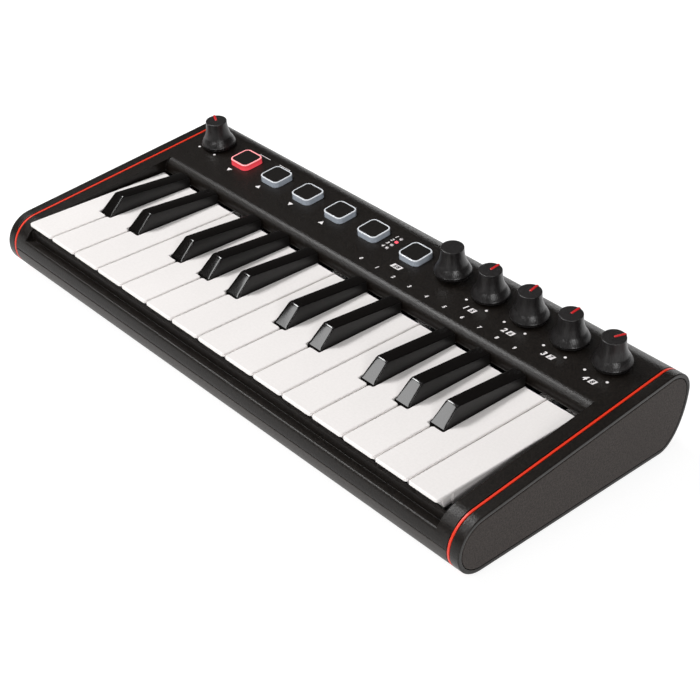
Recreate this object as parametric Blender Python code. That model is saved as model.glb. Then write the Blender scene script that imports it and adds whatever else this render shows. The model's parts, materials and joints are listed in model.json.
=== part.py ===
# Mini keyboard controller: 25 small piano keys, six knobs and six lit buttons.
# X runs along the keyboard, Y goes from the player to the back, Z is up; metres.
# The underside of the rubber feet is Z = 0 and the middle of the case is X = Y = 0.
import math

import bmesh
import bpy
from mathutils import Matrix, Vector

MM = 0.001

# Overall size of the case
CASE_WIDTH = 325.0 * MM
CASE_DEPTH = 146.5 * MM
PANEL_DEPTH = 55.3 * MM
FRONT_RADIUS = 14.6 * MM
TOP_SLOPE = math.radians(6.2)
REAR_RADIUS = 13.8 * MM
UNDER_RADIUS = 15.6 * MM
WALL = 2.2 * MM
FIT = 0.3 * MM
SEAM_GAP = 0.3 * MM
BORDER = 7.4 * MM

# Ends of the case: red stripe, black cap, grey panel
CAP_WIDTH = 4.9 * MM
STRIPE_WIDTH = 1.2 * MM
STRIPE_RING = 4.2 * MM
CAP_EDGE = 1.6 * MM
PANEL_INSET = 2.0 * MM
PANEL_THICK = 1.2 * MM

# Rubber feet
FOOT_RADIUS = 5.5 * MM
FOOT_STAND = 1.0 * MM
FOOT_RECESS = 0.9 * MM
FOOT_SIDE = 30.5 * MM
FOOT_IN = 9.0 * MM

# Keyboard
WHITE_COUNT = 15
KEY_GAP = 0.75 * MM
KEY_FRONT = 4.2 * MM
KEY_TOP = 31.5 * MM
KEY_PLATE = 1.6 * MM
KEY_CORNER = 1.5 * MM
KEY_END_GAP = 1.1 * MM
LAST_KEY_TRIM = 2.0 * MM
KEY_PIVOT_IN = 9.0 * MM
KEY_PIVOT_Z = 26.5 * MM
BEAM_WIDTH = 7.0 * MM
BEAM_BOTTOM = 22.8 * MM
TAIL_TOP = 30.6 * MM
TAIL_PAST = 4.0 * MM
BLACK_LENGTH = 50.6 * MM
BLACK_RISE = 8.1 * MM
BLACK_SLANT = 8.7 * MM
BLACK_DROP = 3.1 * MM
BLACK_BASE = 8.4 * MM
BLACK_TAPER = 0.67 * MM
BLACK_SHIFT = 2.0 * MM
BLACK_TAIL = 6.0 * MM
NOTCH_FIT = 0.5 * MM
NOTCH_FRONT = 1.0 * MM
ROD_RADIUS = 1.0 * MM
BORDER_FIT = 0.8 * MM

# Opening for the keys and the rounded lip of the control panel behind it
LIP_RADIUS = 5.5 * MM
LIP_BOTTOM = 31.4 * MM
LEDGE_TOP = 20.8 * MM
BAR_TOP = 25.3 * MM
BAR_FRONT = 6.2 * MM
BAR_THICK = 2.0 * MM

# Knobs stand square to the sloping panel
KNOB_IN = 24.7 * MM
KNOB_TOP_RADIUS = 5.7 * MM
KNOB_BASE_RADIUS = 9.2 * MM
KNOB_HEIGHT = 15.2 * MM
KNOB_LIFT = 0.9 * MM
KNOB_COLLAR = 1.3 * MM
DATA_RAISE = 1.2 * MM
BORE_TOP = 8.0 * MM
SHAFT_RADIUS = 3.0 * MM
FIRST_IN = 23.9 * MM
LAST_IN = 25.1 * MM
PUSH_TRAVEL = 0.5 * MM

# Buttons
BUTTON_IN = 26.0 * MM
BUTTON_LEAD = 0.45 * MM
BUTTON_SIZE = 13.3 * MM
BUTTON_CORNER = 3.0 * MM
BUTTON_RISE = 2.9 * MM
BUTTON_TRAVEL = 1.0 * MM
FLANGE = 1.1 * MM

# Row of four small lamps
LAMP_GAP = 15.8 * MM
LAMP_IN = 30.3 * MM
LAMP_PITCH = 3.25 * MM
LAMP_WIDE = 1.7 * MM
LAMP_DEEP = 1.4 * MM

# Board under the panel and the sockets at the back
BOARD_DEPTH = 9.0 * MM
BOARD_THICK = 1.6 * MM
BODY_TOP = 5.6 * MM
POT_HALF = 5.5 * MM
BOARD_AHEAD = 14.8 * MM
BOARD_BEHIND = 9.5 * MM
POST_RADIUS = 2.2 * MM
SOCKET_RISE = 7.4 * MM
USB_WIDE = 8.0 * MM
USB_HIGH = 3.2 * MM
JACK_IN = 38.5 * MM
SOCKET_PITCH = 28.0 * MM
SOCKET_MARGIN = 8.0 * MM
SOCKET_BOARD_DEEP = 15.0 * MM
JACK_BORE = 1.8 * MM
JACK_RING = 3.6 * MM
JACK_HALF = 4.2 * MM
SOCKET_POST = 2.2 * MM

# Key frame
BED_BOTTOM = 15.4 * MM
BED_THICK = 2.1 * MM
PAD_TOP = 20.5 * MM
PAD_RADIUS = 2.6 * MM
STRIP_IN = 43.1 * MM
STRIP_DEPTH = 14.0 * MM

HALF = CASE_WIDTH / 2
CAP_X = HALF - CAP_WIDTH
STRIPE_X = CAP_X - FIT - STRIPE_WIDTH
BODY_X = STRIPE_X - FIT
OPENING = BODY_X - BORDER
KEYS_HALF = OPENING - BORDER_FIT
KEY_PITCH = 2 * KEYS_HALF / WHITE_COUNT
LIP_Y = CASE_DEPTH - PANEL_DEPTH
KEY_END = LIP_Y - KEY_END_GAP
KEY_PIVOT_Y = LIP_Y + KEY_PIVOT_IN
BLACK_FRONT = KEY_END - BLACK_LENGTH
FOOT_X = HALF - FOOT_SIDE
# Controls stand along the panel in steps that fill the width between the first and the last one
STEP = (CASE_WIDTH - FIRST_IN - LAST_IN) / 11.148
VOLUME_X = -HALF + FIRST_IN
BUTTON_X = VOLUME_X + BUTTON_LEAD + STEP
LAST_BUTTON_X = BUTTON_X + 5.2 * STEP
DATA_X = VOLUME_X + 7.186 * STEP
POT_PITCH = 0.99 * STEP
POT_X = HALF - LAST_IN - 3 * POT_PITCH
LAMP_X = LAST_BUTTON_X - LAMP_GAP
KNOB_RUN = CASE_DEPTH - KNOB_IN
BUTTON_RUN = CASE_DEPTH - BUTTON_IN
LAMP_RUN = CASE_DEPTH - LAMP_IN
BOARD_FRONT_RUN = KNOB_RUN - BOARD_AHEAD
BOARD_BACK_RUN = CASE_DEPTH - BOARD_BEHIND
JACK_X = -HALF + JACK_IN
USB_X = JACK_X + SOCKET_PITCH
PAD_Y = KEY_END - STRIP_IN
SLOPE = math.tan(TOP_SLOPE)
COS = math.cos(TOP_SLOPE)
SIN = math.sin(TOP_SLOPE)
TOP_Z0 = FRONT_RADIUS * (1 + 1 / COS) - SLOPE * FRONT_RADIUS
SEAM = FRONT_RADIUS
PLATE_BOTTOM = KEY_TOP - KEY_PLATE


def top_z(y):
    return TOP_Z0 + SLOPE * y


SOCKET_Z = SEAM + SOCKET_RISE
SOCKET_FACE = CASE_DEPTH - WALL - 1.6 * MM
SOCKET_BOARD_TOP = SOCKET_Z - JACK_HALF - FIT
USB_Z = SOCKET_BOARD_TOP + FIT + USB_HIGH / 2
REAR_Y = CASE_DEPTH - REAR_RADIUS
REAR_Z = top_z(REAR_Y) - REAR_RADIUS / COS


def clear_scene():
    for item in list(bpy.data.objects):
        bpy.data.objects.remove(item, do_unlink=True)


def material(name, colour, rough, metal=0.0, glow=0.0, through=0.0):
    mat = bpy.data.materials.new(name)
    mat.use_nodes = True
    shader = mat.node_tree.nodes["Principled BSDF"]
    shader.inputs["Base Color"].default_value = (*colour, 1.0)
    shader.inputs["Roughness"].default_value = rough
    shader.inputs["Metallic"].default_value = metal
    shader.inputs["Transmission Weight"].default_value = through
    if glow > 0:
        shader.inputs["Emission Color"].default_value = (*colour, 1.0)
        shader.inputs["Emission Strength"].default_value = glow
    mat.diffuse_color = (*colour, 1.0)
    return mat


def body(name, bm, mat=None, angle=30):
    # Coordinates come in measured from the case's front bottom edge and end up centred
    bmesh.ops.recalc_face_normals(bm, faces=bm.faces)
    mesh = bpy.data.meshes.new(name)
    bm.to_mesh(mesh)
    bm.free()
    mesh.transform(Matrix.Translation((0, -CASE_DEPTH / 2, FOOT_STAND)))
    obj = bpy.data.objects.new(name, mesh)
    bpy.context.collection.objects.link(obj)
    if mat:
        mesh.materials.append(mat)
        mesh.shade_smooth()
        mesh.set_sharp_from_angle(angle=math.radians(angle))
    return obj


def finish(obj, mat, angle=30):
    obj.data.materials.clear()
    obj.data.materials.append(mat)
    obj.data.shade_smooth()
    obj.data.set_sharp_from_angle(angle=math.radians(angle))


def carve(obj, tool, operation="DIFFERENCE"):
    # Solid operation worked out at once, so that every part is one plain closed mesh
    mod = obj.modifiers.new("solid", "BOOLEAN")
    mod.operation = operation
    mod.solver = "EXACT"
    mod.object = tool
    bpy.context.view_layer.update()
    graph = bpy.context.evaluated_depsgraph_get()
    mesh = bpy.data.meshes.new_from_object(obj.evaluated_get(graph))
    obj.modifiers.remove(mod)
    old = obj.data
    obj.data = mesh
    mesh.name = obj.name
    bpy.data.meshes.remove(old)
    drop(tool)


def drop(tool):
    mesh = tool.data
    bpy.data.objects.remove(tool, do_unlink=True)
    bpy.data.meshes.remove(mesh)


def pivot(obj, x, y, z):
    # Move the origin onto the joint axis without moving the part
    spot = Vector((x, y - CASE_DEPTH / 2, z + FOOT_STAND))
    obj.data.transform(Matrix.Translation(-spot))
    obj.location = spot


def prism(points, x0, x1):
    # Side outline (y, z) drawn out along X
    bm = bmesh.new()
    near = [bm.verts.new((x0, y, z)) for y, z in points]
    far = [bm.verts.new((x1, y, z)) for y, z in points]
    bm.faces.new(near)
    bm.faces.new(list(reversed(far)))
    count = len(points)
    for i in range(count):
        j = (i + 1) % count
        bm.faces.new((near[i], far[i], far[j], near[j]))
    return bm


def slab(points, z0, z1):
    # Plan outline (x, y) drawn out along Z
    bm = bmesh.new()
    low = [bm.verts.new((x, y, z0)) for x, y in points]
    high = [bm.verts.new((x, y, z1)) for x, y in points]
    bm.faces.new(low)
    bm.faces.new(list(reversed(high)))
    count = len(points)
    for i in range(count):
        j = (i + 1) % count
        bm.faces.new((low[i], high[i], high[j], low[j]))
    return bm


def box(x0, x1, y0, y1, z0, z1):
    return slab([(x0, y0), (x1, y0), (x1, y1), (x0, y1)], z0, z1)


def rings(loops):
    # Closed solid through matching loops of points, the first and last ones filled
    bm = bmesh.new()
    rows = [[bm.verts.new(p) for p in loop] for loop in loops]
    for a, b in zip(rows[:-1], rows[1:]):
        for i in range(len(a)):
            j = (i + 1) % len(a)
            bm.faces.new((a[i], a[j], b[j], b[i]))
    bm.faces.new(rows[0])
    bm.faces.new(list(reversed(rows[-1])))
    return bm


def on_panel(x, run, rise):
    # Point at a run along the sloping top from its front edge and a rise square to it
    return (x, run * COS - rise * SIN, TOP_Z0 + run * SIN + rise * COS)


def turned(x, run, profile, segments):
    # Round part standing on the panel; profile is a list of (radius, rise)
    loops = []
    for radius, rise in profile:
        loop = []
        for k in range(segments):
            a = 2 * math.pi * k / segments
            loop.append(on_panel(x + radius * math.cos(a), run + radius * math.sin(a), rise))
        loops.append(loop)
    return rings(loops)


def rounded(half, corner, steps):
    points = []
    for k, (sx, sy) in enumerate(((1, 1), (-1, 1), (-1, -1), (1, -1))):
        for i in range(steps + 1):
            a = math.pi / 2 * (k + i / steps)
            cx = sx * (half - corner)
            cy = sy * (half - corner)
            points.append((cx + corner * math.cos(a), cy + corner * math.sin(a)))
    return points


def square_post(x, run, half, corner, levels, steps=4):
    # Rounded-square part standing on the panel; levels is a list of (grow, rise)
    loops = []
    for grow, rise in levels:
        loop = []
        for px, py in rounded(half + grow, max(corner + grow, 0.3 * MM), steps):
            loop.append(on_panel(x + px, run + py, rise))
        loops.append(loop)
    return rings(loops)


def tilted_box(x0, x1, run0, run1, rise0, rise1):
    loops = []
    for rise in (rise0, rise1):
        corners = ((x0, run0), (x1, run0), (x1, run1), (x0, run1))
        loops.append([on_panel(x, run, rise) for x, run in corners])
    return rings(loops)


def upright(x, y, radius, z0, z1, segments=20):
    points = []
    for k in range(segments):
        a = 2 * math.pi * k / segments
        points.append((x + radius * math.cos(a), y + radius * math.sin(a)))
    return slab(points, z0, z1)


def lying(y, z, radius, x0, x1, segments=12):
    points = []
    for k in range(segments):
        a = 2 * math.pi * (k + 0.5) / segments
        points.append((y + radius * math.cos(a), z + radius * math.sin(a)))
    return prism(points, x0, x1)


def backward(x, z, radius, y0, y1, segments=24):
    # Round bar lying along Y
    loops = []
    for y in (y0, y1):
        loop = []
        for k in range(segments):
            a = 2 * math.pi * k / segments
            loop.append((x + radius * math.cos(a), y, z + radius * math.sin(a)))
        loops.append(loop)
    return rings(loops)


def side_outline(inset, front=16, back=9, under=9):
    # Flat bottom, round front, straight sloping top and a full round back
    points = []
    for k in range(front + 1):
        a = -math.pi / 2 - (math.pi - TOP_SLOPE) * k / front
        r = FRONT_RADIUS - inset
        points.append((FRONT_RADIUS + r * math.cos(a), FRONT_RADIUS + r * math.sin(a)))
    for k in range(back + 1):
        a = (math.pi / 2 + TOP_SLOPE) * (1 - k / back)
        r = REAR_RADIUS - inset
        points.append((REAR_Y + r * math.cos(a), REAR_Z + r * math.sin(a)))
    low_y = CASE_DEPTH - UNDER_RADIUS
    for k in range(1, under + 1):
        a = -math.pi / 2 * k / under
        ry = UNDER_RADIUS - inset
        rz = REAR_Z - inset
        points.append((low_y + ry * math.cos(a), REAR_Z + rz * math.sin(a)))
    return points


def cap_loops(side, levels):
    # Loops of the side outline for (x, inset) pairs
    loops = []
    for x, inset in levels:
        loops.append([(side * x, y, z) for y, z in side_outline(inset)])
    return rings(loops)


def knob_profile(bottom, top):
    # A collar, the flared foot over it and a waist that narrows to the flat top
    rim = bottom + KNOB_COLLAR
    span = top - rim
    flare = KNOB_BASE_RADIUS - KNOB_TOP_RADIUS
    points = [(KNOB_BASE_RADIUS - 0.8 * MM, bottom)]
    points.append((KNOB_BASE_RADIUS - 0.7 * MM, rim - 0.4 * MM))
    points.append((KNOB_BASE_RADIUS, rim))
    for t in (0.05, 0.13, 0.22, 0.33, 0.46, 0.62, 0.8, 0.93):
        bend = (1 - t) ** 2.4
        edge = 0.3 * MM * math.sin(math.pi * min(t / 0.3, 1.0))
        points.append((KNOB_TOP_RADIUS + flare * bend + edge, rim + span * t))
    points.append((KNOB_TOP_RADIUS, top - 0.45 * MM))
    points.append((KNOB_TOP_RADIUS - 0.4 * MM, top))
    return points


def build_case(mats):
    outer = side_outline(0)
    inner = side_outline(WALL)
    inside = BODY_X - WALL
    top = body("top_case", prism(outer, -BODY_X, BODY_X))
    carve(top, body("t", box(-HALF, HALF, -MM, CASE_DEPTH + MM, -MM, SEAM + SEAM_GAP / 2)))
    # Hollow behind the lip, slots in the side borders and a pocket under the front bar
    lip_back = LIP_Y + WALL
    carve(top, body("t", prism(clip(inner, lip_back), -inside, inside)))
    for side in (-1, 1):
        a = side * (OPENING + WALL)
        b = side * inside
        pocket = clip(inner, FRONT_RADIUS, LIP_Y)
        carve(top, body("t", prism(pocket, min(a, b), max(a, b))))
    pocket = (-OPENING + WALL, OPENING - WALL, WALL + 0.6 * MM, BAR_FRONT, 0, LEDGE_TOP - WALL)
    carve(top, body("t", box(*pocket)))
    # The opening for the keys, cut round the lip of the panel
    high = top_z(CASE_DEPTH)
    bar_back = BAR_FRONT + BAR_THICK
    cut = [(-MM, high), (-MM, LEDGE_TOP), (BAR_FRONT, LEDGE_TOP), (BAR_FRONT, BAR_TOP)]
    cut += [(bar_back, BAR_TOP), (bar_back, 0), (lip_back + MM, 0), (lip_back + MM, LIP_BOTTOM)]
    cut += [(LIP_Y, LIP_BOTTOM)]
    run_lip = LIP_Y / COS
    for k in range(9):
        a = math.pi - (math.pi / 2) * k / 8
        run = run_lip + LIP_RADIUS + LIP_RADIUS * math.cos(a)
        rise = -LIP_RADIUS + LIP_RADIUS * math.sin(a)
        _, y, z = on_panel(0, run, rise)
        cut.append((max(y, LIP_Y), z))
    cut.append((LIP_Y + 2 * LIP_RADIUS, high))
    carve(top, body("t", prism(cut, -OPENING, OPENING)))
    # Holes for shafts, buttons and lamps
    for x in knob_places():
        hole = turned(x, KNOB_RUN, [(SHAFT_RADIUS + 0.6 * MM, -2 * WALL), (SHAFT_RADIUS + 0.6 * MM, MM)], 20)
        carve(top, body("t", hole))
    for x in button_places():
        hole = square_post(x, BUTTON_RUN, BUTTON_SIZE / 2, BUTTON_CORNER, [(FIT, -2 * WALL), (FIT, MM)])
        carve(top, body("t", hole))
    for run in lamp_places():
        w = LAMP_WIDE / 2 + FIT
        d = LAMP_DEEP / 2 + FIT
        carve(top, body("t", tilted_box(LAMP_X - w, LAMP_X + w, run - d, run + d, -2 * WALL, MM)))
    # Socket holes in the back
    carve(top, body("t", backward(JACK_X, SOCKET_Z, JACK_RING + FIT, CASE_DEPTH - 3 * WALL, CASE_DEPTH + MM)))
    w = USB_WIDE / 2 + 2 * FIT
    h = USB_HIGH / 2 + 2 * FIT
    usb = box(USB_X - w, USB_X + w, CASE_DEPTH - 3 * WALL, CASE_DEPTH + MM, USB_Z - h, USB_Z + h)
    carve(top, body("t", usb))
    # Posts that carry the board
    back_run = BOARD_BACK_RUN - 4 * MM
    buttons = button_places()
    knobs = knob_places()
    posts = [((VOLUME_X + BUTTON_X) / 2, back_run), ((buttons[2] + buttons[3]) / 2, back_run)]
    posts += [((buttons[4] + LAST_BUTTON_X) / 2, back_run), ((knobs[3] + knobs[4]) / 2, back_run)]
    posts += [(inside - 5.6 * MM, BOARD_FRONT_RUN + 3 * MM)]
    for x, run in posts:
        post = turned(x, run, [(POST_RADIUS, -BOARD_DEPTH + FIT), (POST_RADIUS, -WALL / 2)], 12)
        carve(top, body("t", post), "UNION")
    finish(top, mats["case"])

    bottom = body("bottom_case", prism(outer, -BODY_X, BODY_X))
    carve(bottom, body("t", box(-HALF, HALF, -MM, CASE_DEPTH + MM, SEAM - SEAM_GAP / 2, high + MM)))
    carve(bottom, body("t", prism(inner, -inside, inside)))
    # Two posts under the small board of the sockets
    peak = SOCKET_BOARD_TOP - BOARD_THICK - FIT
    for x in (JACK_X, USB_X):
        post = upright(x, SOCKET_FACE - 9 * MM, SOCKET_POST, WALL / 2, peak, 12)
        carve(bottom, body("t", post), "UNION")
    for x, y in foot_places():
        carve(bottom, body("t", upright(x, y, FOOT_RADIUS + FIT, -MM, FOOT_RECESS)))
    finish(bottom, mats["base"])

    for k, (x, y) in enumerate(foot_places()):
        r = FOOT_RADIUS
        z0 = -FOOT_STAND
        z1 = FOOT_RECESS - FIT
        loops = []
        for radius, z in ((r - 0.4 * MM, z0), (r, z0 + 0.4 * MM), (r, z1)):
            loop = []
            for i in range(20):
                a = 2 * math.pi * i / 20
                loop.append((x + radius * math.cos(a), y + radius * math.sin(a), z))
            loops.append(loop)
        body("foot_%d" % (k + 1), rings(loops), mats["rubber"])


def clip(points, y0, y1=None):
    # Keep the part of an outline behind y0 (and in front of y1)
    def cut(poly, limit, keep_above):
        out = []
        for i, p in enumerate(poly):
            q = poly[(i + 1) % len(poly)]
            ins = (p[0] >= limit) == keep_above
            nxt = (q[0] >= limit) == keep_above
            if ins:
                out.append(p)
            if ins != nxt:
                t = (limit - p[0]) / (q[0] - p[0])
                out.append((limit, p[1] + t * (q[1] - p[1])))
        return out
    points = cut(points, y0, True)
    if y1 is not None:
        points = cut(points, y1, False)
    return points


def knob_places():
    return [VOLUME_X, DATA_X] + [POT_X + k * POT_PITCH for k in range(4)]


def button_places():
    return [BUTTON_X + k * STEP for k in range(5)] + [LAST_BUTTON_X]


def lamp_places():
    return [LAMP_RUN + k * LAMP_PITCH for k in range(4)]


def foot_places():
    front = FRONT_RADIUS + FOOT_IN
    back = CASE_DEPTH - UNDER_RADIUS - FOOT_IN
    return [(-FOOT_X, front), (FOOT_X, front), (-FOOT_X, back), (FOOT_X, back)]


def build_ends(mats):
    for side, word in ((-1, "left"), (1, "right")):
        ring = cap_loops(side, [(STRIPE_X, 0), (STRIPE_X + STRIPE_WIDTH, 0)])
        stripe = body("stripe_" + word, ring)
        hole = cap_loops(side, [(STRIPE_X - MM, STRIPE_RING), (CAP_X, STRIPE_RING)])
        carve(stripe, body("t", hole))
        finish(stripe, mats["stripe"])

        levels = [(CAP_X, 0), (HALF - CAP_EDGE, 0), (HALF - 0.62 * CAP_EDGE, 0.08 * CAP_EDGE)]
        levels += [(HALF - 0.29 * CAP_EDGE, 0.29 * CAP_EDGE), (HALF - 0.08 * CAP_EDGE, 0.62 * CAP_EDGE)]
        levels += [(HALF, CAP_EDGE)]
        cap = body("end_cap_" + word, cap_loops(side, levels))
        plug = STRIPE_RING + FIT
        spigot = cap_loops(side, [(STRIPE_X, plug), (CAP_X + MM, plug)])
        carve(cap, body("t", spigot), "UNION")
        seat = HALF - PANEL_THICK - FIT
        recess = cap_loops(side, [(seat, PANEL_INSET), (HALF + MM, PANEL_INSET)])
        carve(cap, body("t", recess))
        finish(cap, mats["case"])

        rim = PANEL_INSET + FIT
        levels = [(seat + FIT, rim), (HALF - 0.2 * MM, rim), (HALF, rim + 0.2 * MM)]
        body("end_panel_" + word, cap_loops(side, levels), mats["panel"])


def black_places():
    # (number of the gap it sits over, sideways shift) for each black key
    group = ((1, -1), (2, 1), (4, -1), (5, 0), (6, 1))
    out = []
    for octave in (0, 7):
        for gap, shift in group:
            out.append((gap + octave, shift))
    return out


def black_x(gap, shift):
    return -KEYS_HALF + gap * KEY_PITCH + shift * BLACK_SHIFT


def white_bounds(index):
    # Edges of the wide front part and of the narrow part between the black keys
    left = -KEYS_HALF + index * KEY_PITCH + KEY_GAP / 2
    right = left + KEY_PITCH - KEY_GAP
    if index == WHITE_COUNT - 1:
        right -= LAST_KEY_TRIM
    near_left, near_right = left, right
    reach = BLACK_BASE / 2 + NOTCH_FIT
    for gap, shift in black_places():
        x = black_x(gap, shift)
        if gap == index:
            near_left = max(left, x + reach)
        if gap == index + 1:
            near_right = min(right, x - reach)
    return left, right, near_left, near_right


def build_keys(mats):
    shoulder = BLACK_FRONT - NOTCH_FRONT
    hole = ROD_RADIUS + FIT
    reach = KEYS_HALF + MM
    for index in range(WHITE_COUNT):
        left, right, nl, nr = white_bounds(index)
        c = KEY_CORNER
        plan = []
        for k in range(5):
            a = math.pi + math.pi / 2 * k / 4
            plan.append((left + c + c * math.cos(a), KEY_FRONT + c + c * math.sin(a)))
        for k in range(5):
            a = -math.pi / 2 + math.pi / 2 * k / 4
            plan.append((right - c + c * math.cos(a), KEY_FRONT + c + c * math.sin(a)))
        if nr < right:
            plan += [(right, shoulder), (nr, shoulder)]
        plan += [(nr, KEY_END), (nl, KEY_END)]
        if nl > left:
            plan += [(nl, shoulder), (left, shoulder)]
        # The top edge is broken a little so that it catches the light
        bm = slab(plan, PLATE_BOTTOM, KEY_TOP)
        edges = [e for e in bm.edges if all(v.co.z > KEY_TOP - 0.01 * MM for v in e.verts)]
        bmesh.ops.bevel(bm, geom=edges, offset=0.4 * MM, segments=2, affect="EDGES", profile=0.5)
        key = body("white_key_%02d" % (index + 1), bm)
        mid = (nl + nr) / 2
        tail = KEY_PIVOT_Y + TAIL_PAST
        inside = PLATE_BOTTOM + KEY_PLATE / 2
        side = [(BAR_FRONT + BAR_THICK + MM, BEAM_BOTTOM), (tail - MM, BEAM_BOTTOM)]
        side += [(tail, BEAM_BOTTOM + MM), (tail, TAIL_TOP - MM), (tail - MM, TAIL_TOP)]
        side += [(KEY_END - 3 * MM, TAIL_TOP), (KEY_END - 3 * MM, inside)]
        side += [(BAR_FRONT + BAR_THICK + MM, inside)]
        beam = prism(side, mid - BEAM_WIDTH / 2, mid + BEAM_WIDTH / 2)
        carve(key, body("t", beam), "UNION")
        carve(key, body("t", lying(KEY_PIVOT_Y, KEY_PIVOT_Z, hole, -reach, reach)))
        finish(key, mats["white"])
        pivot(key, mid, KEY_PIVOT_Y, KEY_PIVOT_Z)

    for number, (gap, shift) in enumerate(black_places()):
        x = black_x(gap, shift)
        base = BLACK_BASE / 2
        brow = KEY_TOP + BLACK_RISE
        back = brow - BLACK_DROP
        foot_z = PLATE_BOTTOM - 3 * MM
        end = KEY_END + 0.6 * MM
        slim = base - BLACK_TAPER
        slim_back = base - BLACK_TAPER * (back - KEY_TOP) / BLACK_RISE
        stations = []
        # Loops run round each height: front left, front right, back right, back left
        stations.append([(-base, BLACK_FRONT + 0.3 * MM, foot_z), (base, BLACK_FRONT + 0.3 * MM, foot_z),
                         (base, end, foot_z), (-base, end, foot_z)])
        stations.append([(-base, BLACK_FRONT, KEY_TOP), (base, BLACK_FRONT, KEY_TOP),
                         (base, end, KEY_TOP), (-base, end, KEY_TOP)])
        stations.append([(-slim, BLACK_FRONT + BLACK_SLANT, brow), (slim, BLACK_FRONT + BLACK_SLANT, brow),
                         (slim_back, end, back), (-slim_back, end, back)])
        loops = [[(x + px, py, pz) for px, py, pz in loop] for loop in stations]
        bm = rings(loops)
        crown = KEY_TOP + 1.5 * MM
        edges = [e for e in bm.edges if sum(v.co.z > crown for v in e.verts) == 2]
        edges += [e for e in bm.edges if sum(v.co.z > crown for v in e.verts) == 1
                  and min(v.co.y for v in e.verts) < shoulder + 3 * MM]
        bmesh.ops.bevel(bm, geom=edges, offset=0.45 * MM, segments=2, affect="EDGES", profile=0.5)
        key = body("black_key_%02d" % (number + 1), bm)
        tail = KEY_PIVOT_Y + TAIL_PAST
        front = BLACK_FRONT + 4 * MM
        side = [(front, BEAM_BOTTOM), (tail - MM, BEAM_BOTTOM), (tail, BEAM_BOTTOM + MM)]
        side += [(tail, TAIL_TOP - MM), (tail - MM, TAIL_TOP), (front, TAIL_TOP)]
        beam = prism(side, x - BLACK_TAIL / 2, x + BLACK_TAIL / 2)
        carve(key, body("t", beam), "UNION")
        carve(key, body("t", lying(KEY_PIVOT_Y, KEY_PIVOT_Z, hole, -reach, reach)))
        finish(key, mats["black"])
        pivot(key, x, KEY_PIVOT_Y, KEY_PIVOT_Z)


def build_frame(mats):
    # Frame under the keys, with brackets for the hinge rod, and the rubber contact strip
    half = KEYS_HALF - 0.6 * MM
    front = BAR_FRONT + BAR_THICK + 2 * MM
    back = KEY_PIVOT_Y + TAIL_PAST + MM
    top = BED_BOTTOM + BED_THICK
    bed = body("key_bed", box(-half, half, front, back, BED_BOTTOM, top))
    spots = [-KEYS_HALF + 1.6 * MM]
    spots += [-KEYS_HALF + n * KEY_PITCH for n in (3, 7, 10, 14)]
    spots += [KEYS_HALF - 1.6 * MM]
    for x in spots:
        peak = KEY_PIVOT_Z + 3 * MM
        side = [(KEY_PIVOT_Y - 4 * MM, top - MM), (back - 0.5 * MM, top - MM)]
        side += [(back - 0.5 * MM, peak - MM), (KEY_PIVOT_Y + 2 * MM, peak)]
        side += [(KEY_PIVOT_Y - 2 * MM, peak), (KEY_PIVOT_Y - 4 * MM, peak - 2 * MM)]
        carve(bed, body("t", prism(side, x - 0.8 * MM, x + 0.8 * MM)), "UNION")
    for x in (-half + 12 * MM, 0, half - 12 * MM):
        for y in (front + 8 * MM, back - 12 * MM):
            leg = box(x - 3 * MM, x + 3 * MM, y - 3 * MM, y + 3 * MM, WALL + FIT, BED_BOTTOM + MM)
            carve(bed, body("t", leg), "UNION")
    reach = KEYS_HALF + MM
    hole = ROD_RADIUS + FIT
    carve(bed, body("t", lying(KEY_PIVOT_Y, KEY_PIVOT_Z, hole, -reach, reach)))
    finish(bed, mats["frame"])
    rod = lying(KEY_PIVOT_Y, KEY_PIVOT_Z, ROD_RADIUS, -half + 0.2 * MM, half - 0.2 * MM, 16)
    body("hinge_rod", rod, mats["steel"])

    low = top + FIT
    edge = STRIP_DEPTH / 2
    strip = body("contact_strip", box(-half + MM, half - MM, PAD_Y - edge, PAD_Y + edge, low, low + 1.2 * MM))
    middles = []
    for index in range(WHITE_COUNT):
        _, _, nl, nr = white_bounds(index)
        middles.append((nl + nr) / 2)
    for gap, shift in black_places():
        middles.append(black_x(gap, shift))
    for x in sorted(middles):
        pad = upright(x, PAD_Y, PAD_RADIUS, low + 0.6 * MM, PAD_TOP, 10)
        carve(strip, body("t", pad), "UNION")
    finish(strip, mats["rubber"])


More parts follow.
